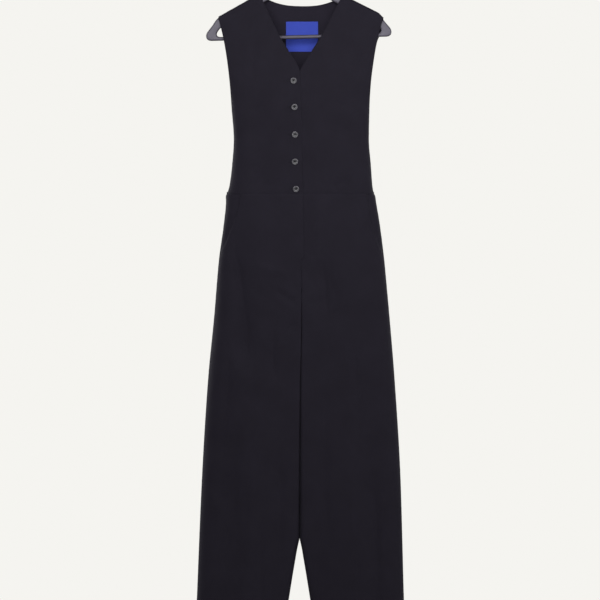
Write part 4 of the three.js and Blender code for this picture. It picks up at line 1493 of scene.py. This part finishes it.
# Faces in the dish take the darker copy of the shell, the painted shade of the hollow.
in_shaded_dish = [
    polygon.center.xy.length < DISH_RADIUS * MM and polygon.center.z > DISH_HEIGHT * MM
    for polygon in blank_button.polygons
]
for number, seat in enumerate(seats, 1):
    mesh = blank_button.copy()
    mesh.transform(seat)
    button = add_object(f"button_{number}_shell", mesh, ["button", "button middle, painted shade"])
    for polygon, dished in zip(mesh.polygons, in_shaded_dish):
        polygon.material_index = int(dished)
    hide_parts(f"button_{number}")
sew("button_threads", [button_thread(seat) for seat in seats], radius=BUTTON_THREAD_RADIUS)
print("button faces:", len(blank_button.polygons))

# %% Buttonholes
BUTTONHOLE_INNER = 2.5
BUTTONHOLE_OUTER = 13.5
BUTTONHOLE_WIDTH = 3.0
BUTTONHOLE_THREADS = 30
BUTTONHOLE_LIP = 0.85
BUTTONHOLE_BAR = {"length": 1.5, "width": BUTTONHOLE_WIDTH + 0.6, "threads": 5, "lift": 0.26}
BUTTONHOLE_BAR_PAST = 1.6
LIP_ARCH = [(-0.75, -0.3), (-0.6, 0.08), (0, 0.2), (0.6, 0.08), (0.75, -0.3)]


def buttonhole(row):
    """close stitches on both sides of a slit, and a bar at each end"""
    runs = []
    middle = row["x"] + (BUTTONHOLE_INNER - BUTTONHOLE_OUTER) / 2
    long = BUTTONHOLE_INNER + BUTTONHOLE_OUTER
    for lip in (-1, 1):
        for share in np.linspace(-0.5, 0.5, BUTTONHOLE_THREADS):
            place, normal = touch(over_finder, middle + share * long, row["down"] + lip * BUTTONHOLE_LIP)
            _, across = frame_at(normal, np.array([1.0, 0, 0]))
            runs.append([place + across * aside + normal * up for aside, up in LIP_ARCH])
    for end in (-0.5, 0.5):
        place, normal = touch(over_finder, middle + end * (long + BUTTONHOLE_BAR_PAST), row["down"])
        runs += block_of_threads(place, normal, np.array([1.0, 0, 0]), **BUTTONHOLE_BAR)
    return runs


sew("buttonholes", [buttonhole(row) for row in BUTTONS])

# %% [markdown]
# The label is a strip of blue woven satin, sewn flat inside the back of the neck, with its two side ends
# turned under. One row of points goes in from under the left end, round the turn, across the face and under
# again at the right, so the turned ends are real layers. It bears nothing. Its own blue thread holds it
# down along both turned ends.

# %% Neck label
LABEL = {"left": -36, "right": 41, "top": 185.5, "bottom": 258.5}
LABEL_TURN = 9
LABEL_THICKNESS = 0.42
LABEL_STEPS = 1.5
LABEL_COLUMNS = 48
LABEL_INSETS = (LABEL_TURN, 6, 3, 1, 0.3)
LABEL_STANDS = {"under": 0.5, "turn": 0.8, "face": 1.15}
LABEL_CORNER = 0.4
LABEL_BILLOW = 0.5
back_finder = cloth_finder("back")


def label_rows():
    rows = []
    for down in np.arange(LABEL["top"], LABEL["bottom"] + 0.1, LABEL_STEPS):
        face = np.linspace(LABEL["left"] + LABEL_CORNER, LABEL["right"] - LABEL_CORNER, LABEL_COLUMNS)
        across = [(LABEL["left"] + inset, LABEL_STANDS["under"]) for inset in LABEL_INSETS]
        across += [(LABEL["left"], LABEL_STANDS["turn"])]
        across += [(x, LABEL_STANDS["face"]) for x in face]
        across += [(LABEL["right"], LABEL_STANDS["turn"])]
        across += [(LABEL["right"] - inset, LABEL_STANDS["under"]) for inset in LABEL_INSETS[::-1]]
        row = []
        for x, stand in across:
            place, normal = touch(back_finder, x, down, from_front=False)
            middle = (x - (LABEL["left"] + LABEL["right"]) / 2) / (LABEL["right"] - LABEL["left"])
            lower = (down - LABEL["top"]) / (LABEL["bottom"] - LABEL["top"])
            loose = 1 - (2 * abs(middle)) ** 2
            wave = math.sin(lower * 5.2 + middle * 3.1)
            billow = LABEL_BILLOW * wave * max(loose, 0) + LABEL_BILLOW * max(loose, 0)
            row.append(place + np.array([0, -1, 0]) * (stand + billow * (stand == LABEL_STANDS["face"])))
        rows.append(row)
    return np.array(rows)


label = Sheet(label_rows(), "front")
label_piece = add_object("neck_label_satin", grid_mesh("neck_label_satin", label), ["label"])
thicken(label_piece, LABEL_THICKNESS, 0.1)
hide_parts("neck_label")
label_across = label.across[:, -1].max()
label_along = label.along[-1].max()
cloth_cuts["label"] = {
    "piece": label_piece,
    "width": label_across,
    "length": label_along,
    "area": label.area(),
}
LABEL_EDGE = LABEL_TURN + 2.2
label_stitch = {"pitch": 2.3, "length": 1.8}
sew("label_stitches", [
    stitch_runs(*label.run("start", LABEL_EDGE), **label_stitch),
    stitch_runs(*label.run("end", LABEL_EDGE), **label_stitch),
], finish="label thread", radius=0.16)
print("label", round(label_across), "x", round(label_along), "mm with its turned ends")

# %% [markdown]
# For each piece of cloth the loop below works out how wide and long it was cut before it was hung, what it
# hangs from, and the area of its cut.

# %% Cut of each piece of cloth
for name, cut in cloth_cuts.items():
    cut["width"] * MM
    cut["length"] * MM
    ["back"] if name == "label" else ["hanger_frame"]
    min(cut["area"], cut["width"] * cut["length"]) * MM * MM
print("sheets:", list(cloth_cuts))

# %% [markdown]
# The hanger is one plastic moulding with a rounded section: two arms that slope like shoulders, a bar for
# trousers, and a round hook that grows out of a collar. A flat outline with a window in it, drawn with
# curve handles, becomes a solid with soft edges when the curve is given a depth and a round bevel. It hangs
# a little off level, so everything is turned about the top of the hook by the same small angle.

# %% Hanger
RIDGE_CLEARANCE = 0.8
ARM_HEIGHT = 22
ARM_STRAIGHT = 189
HANGER_DEPTH = 10
HANGER_EDGE = 4.4
HANGER_HALF_SPAN = 223
BAR_TOP = 218.6
BAR_BOTTOM = 227.7
COLLAR_HALF_WIDTH = 10
COLLAR_TOP = 57
COLLAR_FLARE = 6
ARM_BEND = 8
END_TOP = {"in": 17, "down": 190}
END_CHEEK = {"in": 4, "down": 206}
END_BULGE = {"out": 3, "down": 216}
END_FOOT = {"in": 14}
WINDOW_APEX = {"foot_at": 7, "bend": 6, "end": 12}
WINDOW_STRAIGHT = 176
WINDOW_BEND = {"x": 186, "arm_at": 187}
WINDOW_TURN = {"x": 193, "down": 204}
WINDOW_BULGE = {"x": 200, "down": 213}
WINDOW_FOOT = {"x": 188, "ease": 196}
HOOK_ROD_RADIUS = 4
HOOK_INNER_RADIUS = 20
HOOK_POINTS = 120
HOOK_ANGLES = np.radians(np.arange(-50, 191, 4))
HOOK_SOFTENING = 12
TIP_LEAST = 0.004
SWELL = {"height": 0.7, "length": 4.5}
SOLID_CLOTH = 1.6
RIDGE_DROP = (SOLID_CLOTH + RIDGE_CLEARANCE) / math.cos(ARM_SLOPE)


def arm_top(x):
    return -(CLOTH_RIDGE_TOP + RIDGE_DROP + x * math.tan(ARM_SLOPE))


def arm_foot(x):
    return arm_top(x) - ARM_HEIGHT / math.cos(ARM_SLOPE)


def bezier(start, first, second, end, steps=12):
    """points along one curved stretch, without its start"""
    t = np.linspace(0, 1, steps + 1)[1:, None]
    start, first, second, end = (np.array(point, float) for point in (start, first, second, end))
    return (1 - t) ** 3 * start + 3 * (1 - t) ** 2 * t * first + 3 * (1 - t) * t**2 * second + t**3 * end


def quadratic(start, pull, end, steps=12):
    start, pull, end = (np.array(point, float) for point in (start, pull, end))
    return bezier(start, start + (pull - start) * 2 / 3, end + (pull - end) * 2 / 3, end, steps)


def mirrored(half):
    """a right half, from the top to the foot, and the same on the left, back up"""
    half = np.array(half)
    return np.vstack([half, half[::-1] * [-1, 1]])


def hanger_outline():
    span = HANGER_HALF_SPAN
    collar = COLLAR_HALF_WIDTH
    shoulder = (ARM_STRAIGHT, arm_top(ARM_STRAIGHT))
    bend = ARM_STRAIGHT + ARM_BEND
    cheek = (span - END_CHEEK["in"], -END_CHEEK["down"])
    bulge = (span + END_BULGE["out"], -END_BULGE["down"])
    return mirrored([
        (collar - 3, -COLLAR_TOP),
        (collar - 0.6, -COLLAR_TOP - 0.8),
        (collar, -COLLAR_TOP - 3),
        *quadratic(
            (collar, arm_top(collar) + COLLAR_FLARE),
            (collar, arm_top(collar) + 0.5),
            (collar + COLLAR_FLARE, arm_top(collar + COLLAR_FLARE)),
            6,
        ),
        shoulder,
        *quadratic(shoulder, (bend, arm_top(bend)), (span - END_TOP["in"], -END_TOP["down"])),
        cheek,
        *bezier(cheek, bulge, (span, -BAR_BOTTOM), (span - END_FOOT["in"], -BAR_BOTTOM)),
    ])


def hanger_window():
    apex = arm_foot(WINDOW_APEX["foot_at"])
    apex_end = (WINDOW_APEX["end"], arm_foot(WINDOW_APEX["end"]))
    straight = (WINDOW_STRAIGHT, arm_foot(WINDOW_STRAIGHT))
    turn = (WINDOW_TURN["x"], -WINDOW_TURN["down"])
    bulge = (WINDOW_BULGE["x"], -WINDOW_BULGE["down"])
    return mirrored([
        *quadratic((0, apex), (WINDOW_APEX["bend"], apex), apex_end, 6),
        straight,
        *quadratic(straight, (WINDOW_BEND["x"], arm_foot(WINDOW_BEND["arm_at"])), turn),
        *bezier(turn, bulge, (WINDOW_FOOT["ease"], -BAR_TOP), (WINDOW_FOOT["x"], -BAR_TOP)),
    ])


def flat_outline(name, outlines, depth, edge):
    curve = bpy.data.curves.new(name, "CURVE")
    curve.dimensions = "2D"
    curve.fill_mode = "BOTH"
    curve.extrude = (depth / 2 - edge) * MM
    curve.bevel_depth = edge * MM
    curve.bevel_resolution = 5
    curve.offset = -edge * MM
    for outline in outlines:
        spline = curve.splines.new("POLY")
        spline.points.add(len(outline) - 1)
        for point, (x, z) in zip(spline.points, outline):
            point.co = (x * MM, z * MM, 0, 1)
        spline.use_cyclic_u = True
    return baked(placed(name, curve))


def closed_smooth(mesh, sharp):
    """doubles merged, faces outward, smooth but for the real edges"""
    bm = bmesh.new()
    bm.from_mesh(mesh)
    bmesh.ops.remove_doubles(bm, verts=bm.verts[:], dist=2e-6)
    bmesh.ops.recalc_face_normals(bm, faces=bm.faces[:])
    for polygon in bm.faces:
        polygon.smooth = True
    for edge in bm.edges:
        if len(edge.link_faces) == 2 and edge.calc_face_angle() > math.radians(sharp):
            edge.smooth = False
    bm.to_mesh(mesh)
    bm.free()


upright = Matrix.Rotation(-HANGER_TILT, 4, "Y") @ Matrix.Rotation(math.radians(90), 4, "X")
frame_mesh = flat_outline("hanger_moulding", [hanger_outline(), hanger_window()], HANGER_DEPTH, HANGER_EDGE)
frame_mesh.transform(upright)
closed_smooth(frame_mesh, 50)
hanger_piece = add_object("hanger_moulding", frame_mesh, ["hanger"])
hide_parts("hanger_frame")
print("hanger faces:", len(frame_mesh.polygons))

# %% [markdown]
# The hook's rod leaves the collar straight up, swings out, turns over the rail and ends in a rounded tip.
# It is a round curve whose radius shrinks over its last millimetres, and swells where it grows out of the
# collar.


# %% Hook
def hook_line():
    radius = HOOK_INNER_RADIUS + HOOK_ROD_RADIUS
    stem = [(0, -COLLAR_TOP - 2), (0, -COLLAR_TOP + 1), (0.3, -COLLAR_TOP + 4), (2.2, -COLLAR_TOP + 8),
            (6.6, -COLLAR_TOP + 12.6)]
    sideways, up = radius * np.cos(HOOK_ANGLES), radius * np.sin(HOOK_ANGLES)
    bend = np.stack([sideways, up - HOOK_INNER_RADIUS], axis=1)
    line = np.vstack([stem, bend])
    reached = lengths_along(line)
    even = np.linspace(0, reached[-1], HOOK_POINTS)
    return np.stack([np.interp(even, reached, line[:, k]) for k in (0, 1)], axis=1)


def softened(line, times):
    for _ in range(times):
        line[1:-1] = line[1:-1] * 0.5 + (line[:-2] + line[2:]) * 0.25
    return line


hook = softened(hook_line(), HOOK_SOFTENING)
reached = lengths_along(hook)
from_tip = reached[-1] - reached
tip = np.sqrt(np.clip(1 - (1 - np.clip(from_tip / HOOK_ROD_RADIUS, 0, 1)) ** 2, TIP_LEAST, 1))
swell = 1 + SWELL["height"] * np.exp(-((reached / SWELL["length"]) ** 2))
rod = [np.array([x, 0, z]) for x, z in hook]
hook_mesh = mesh_of_curves("hanger_hook_rod", [rod], HOOK_ROD_RADIUS, sides=8, tapers=[tip * swell])
hook_mesh.transform(Matrix.Rotation(-HANGER_TILT, 4, "Y"))
closed_smooth(hook_mesh, 60)
hook_piece = add_object("hanger_hook_rod", hook_mesh, ["hanger"])
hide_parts("hanger_hook")
print("hook faces:", len(hook_mesh.polygons))

# %% [markdown]
# The garment hangs over a plain pale floor in a pale room, as in a shop's studio. The camera sees floor and
# room as one even tone, because a Light Path node gives its rays a plain bright colour. All other rays meet
# a dim room and a paper floor, so the lamps alone model the cloth. A broad lamp hangs high in front, which
# is why the cloth grows darker towards the hems. Two weaker ones stand at the sides and two behind, to draw
# the rounded edges. Those of a pair differ in strength, because even light from both sides would wipe the
# soft folds out.

# %% Floor, room and lamps
PALE = (0.913, 0.905, 0.871)
ROOM_LIGHT = 0.13
FLOOR_DOWN = 1.75
FLOOR_RADIUS = 3.0


def floor_material():
    paint = Paint("pale paper floor")
    place = paint.add("TexCoord", output=3)
    fibre = paint.add("TexNoise", {"Vector": place, "Scale": 90.0, "Detail": 4.0})
    paint.finish(Base_Color=paint.mix(fibre, (0.60, 0.597, 0.58), (0.66, 0.657, 0.64)), Roughness=0.9)
    seen = paint.add("Emission", {"Color": (*PALE, 1), "Strength": 1.0})
    by_camera = paint.add("LightPath")
    shown = paint.add("MixShader", {0: by_camera, 1: Wire(paint, paint.shader.outputs[0]), 2: seen})
    paint.feed(paint.tree.nodes["Material Output"].inputs["Surface"], shown)
    return paint.material


def make_floor():
    bm = bmesh.new()
    bmesh.ops.create_circle(
        bm, cap_ends=True, segments=64, radius=FLOOR_RADIUS, matrix=Matrix.Translation((0, 0, -FLOOR_DOWN)),
    )
    mesh = mesh_from(bm, "floor")
    mesh.materials.append(floor_material())
    placed("floor", mesh)


def make_room():
    world = bpy.data.worlds.new("room")
    world.use_nodes = True
    tree = world.node_tree
    dim = tree.nodes["Background"]
    dim.inputs["Color"].default_value = (0.96, 0.97, 1.0, 1)
    dim.inputs["Strength"].default_value = ROOM_LIGHT
    seen = tree.nodes.new("ShaderNodeBackground")
    seen.inputs["Color"].default_value = (*PALE, 1)
    by_camera = tree.nodes.new("ShaderNodeLightPath")
    either = tree.nodes.new("ShaderNodeMixShader")
    tree.links.new(by_camera.outputs["Is Camera Ray"], either.inputs[0])
    tree.links.new(dim.outputs[0], either.inputs[1])
    tree.links.new(seen.outputs[0], either.inputs[2])
    tree.links.new(either.outputs[0], tree.nodes["World Output"].inputs["Surface"])
    bpy.context.scene.world = world


def area_light(name, place, aim, size, watts):
    light = bpy.data.lights.new(name, "AREA")
    light.shape = "RECTANGLE"
    light.size, light.size_y = size
    light.energy = watts
    lamp = placed(name, light)
    lamp.location = place
    lamp.rotation_euler = (Vector(aim) - Vector(place)).to_track_quat("-Z", "Y").to_euler()
    lamp.visible_camera = False
    print(name, watts, "W")


LAMPS = table(
    "name place aim size watts",
    ("high front", (-0.1, -1.9, 0.25), (0, 0, -0.25), (2.0, 1.0), 38.5),
    ("left side", (-2.4, -0.8, 0.1), (0, 0, -0.5), (1.0, 1.4), 4),
    ("right side", (2.5, -0.6, 0.1), (0, 0, -0.5), (0.7, 1.4), 21),
    ("behind left", (-1.9, 1.1, -0.2), (0, 0, -0.7), (0.7, 1.6), 33),
    ("behind right", (1.7, 1.5, -0.3), (0, 0, -0.7), (1.0, 1.8), 13),
)
make_floor()
make_room()
for lamp in LAMPS:
    area_light(**lamp)
bpy.context.scene.view_settings.view_transform = "Standard"
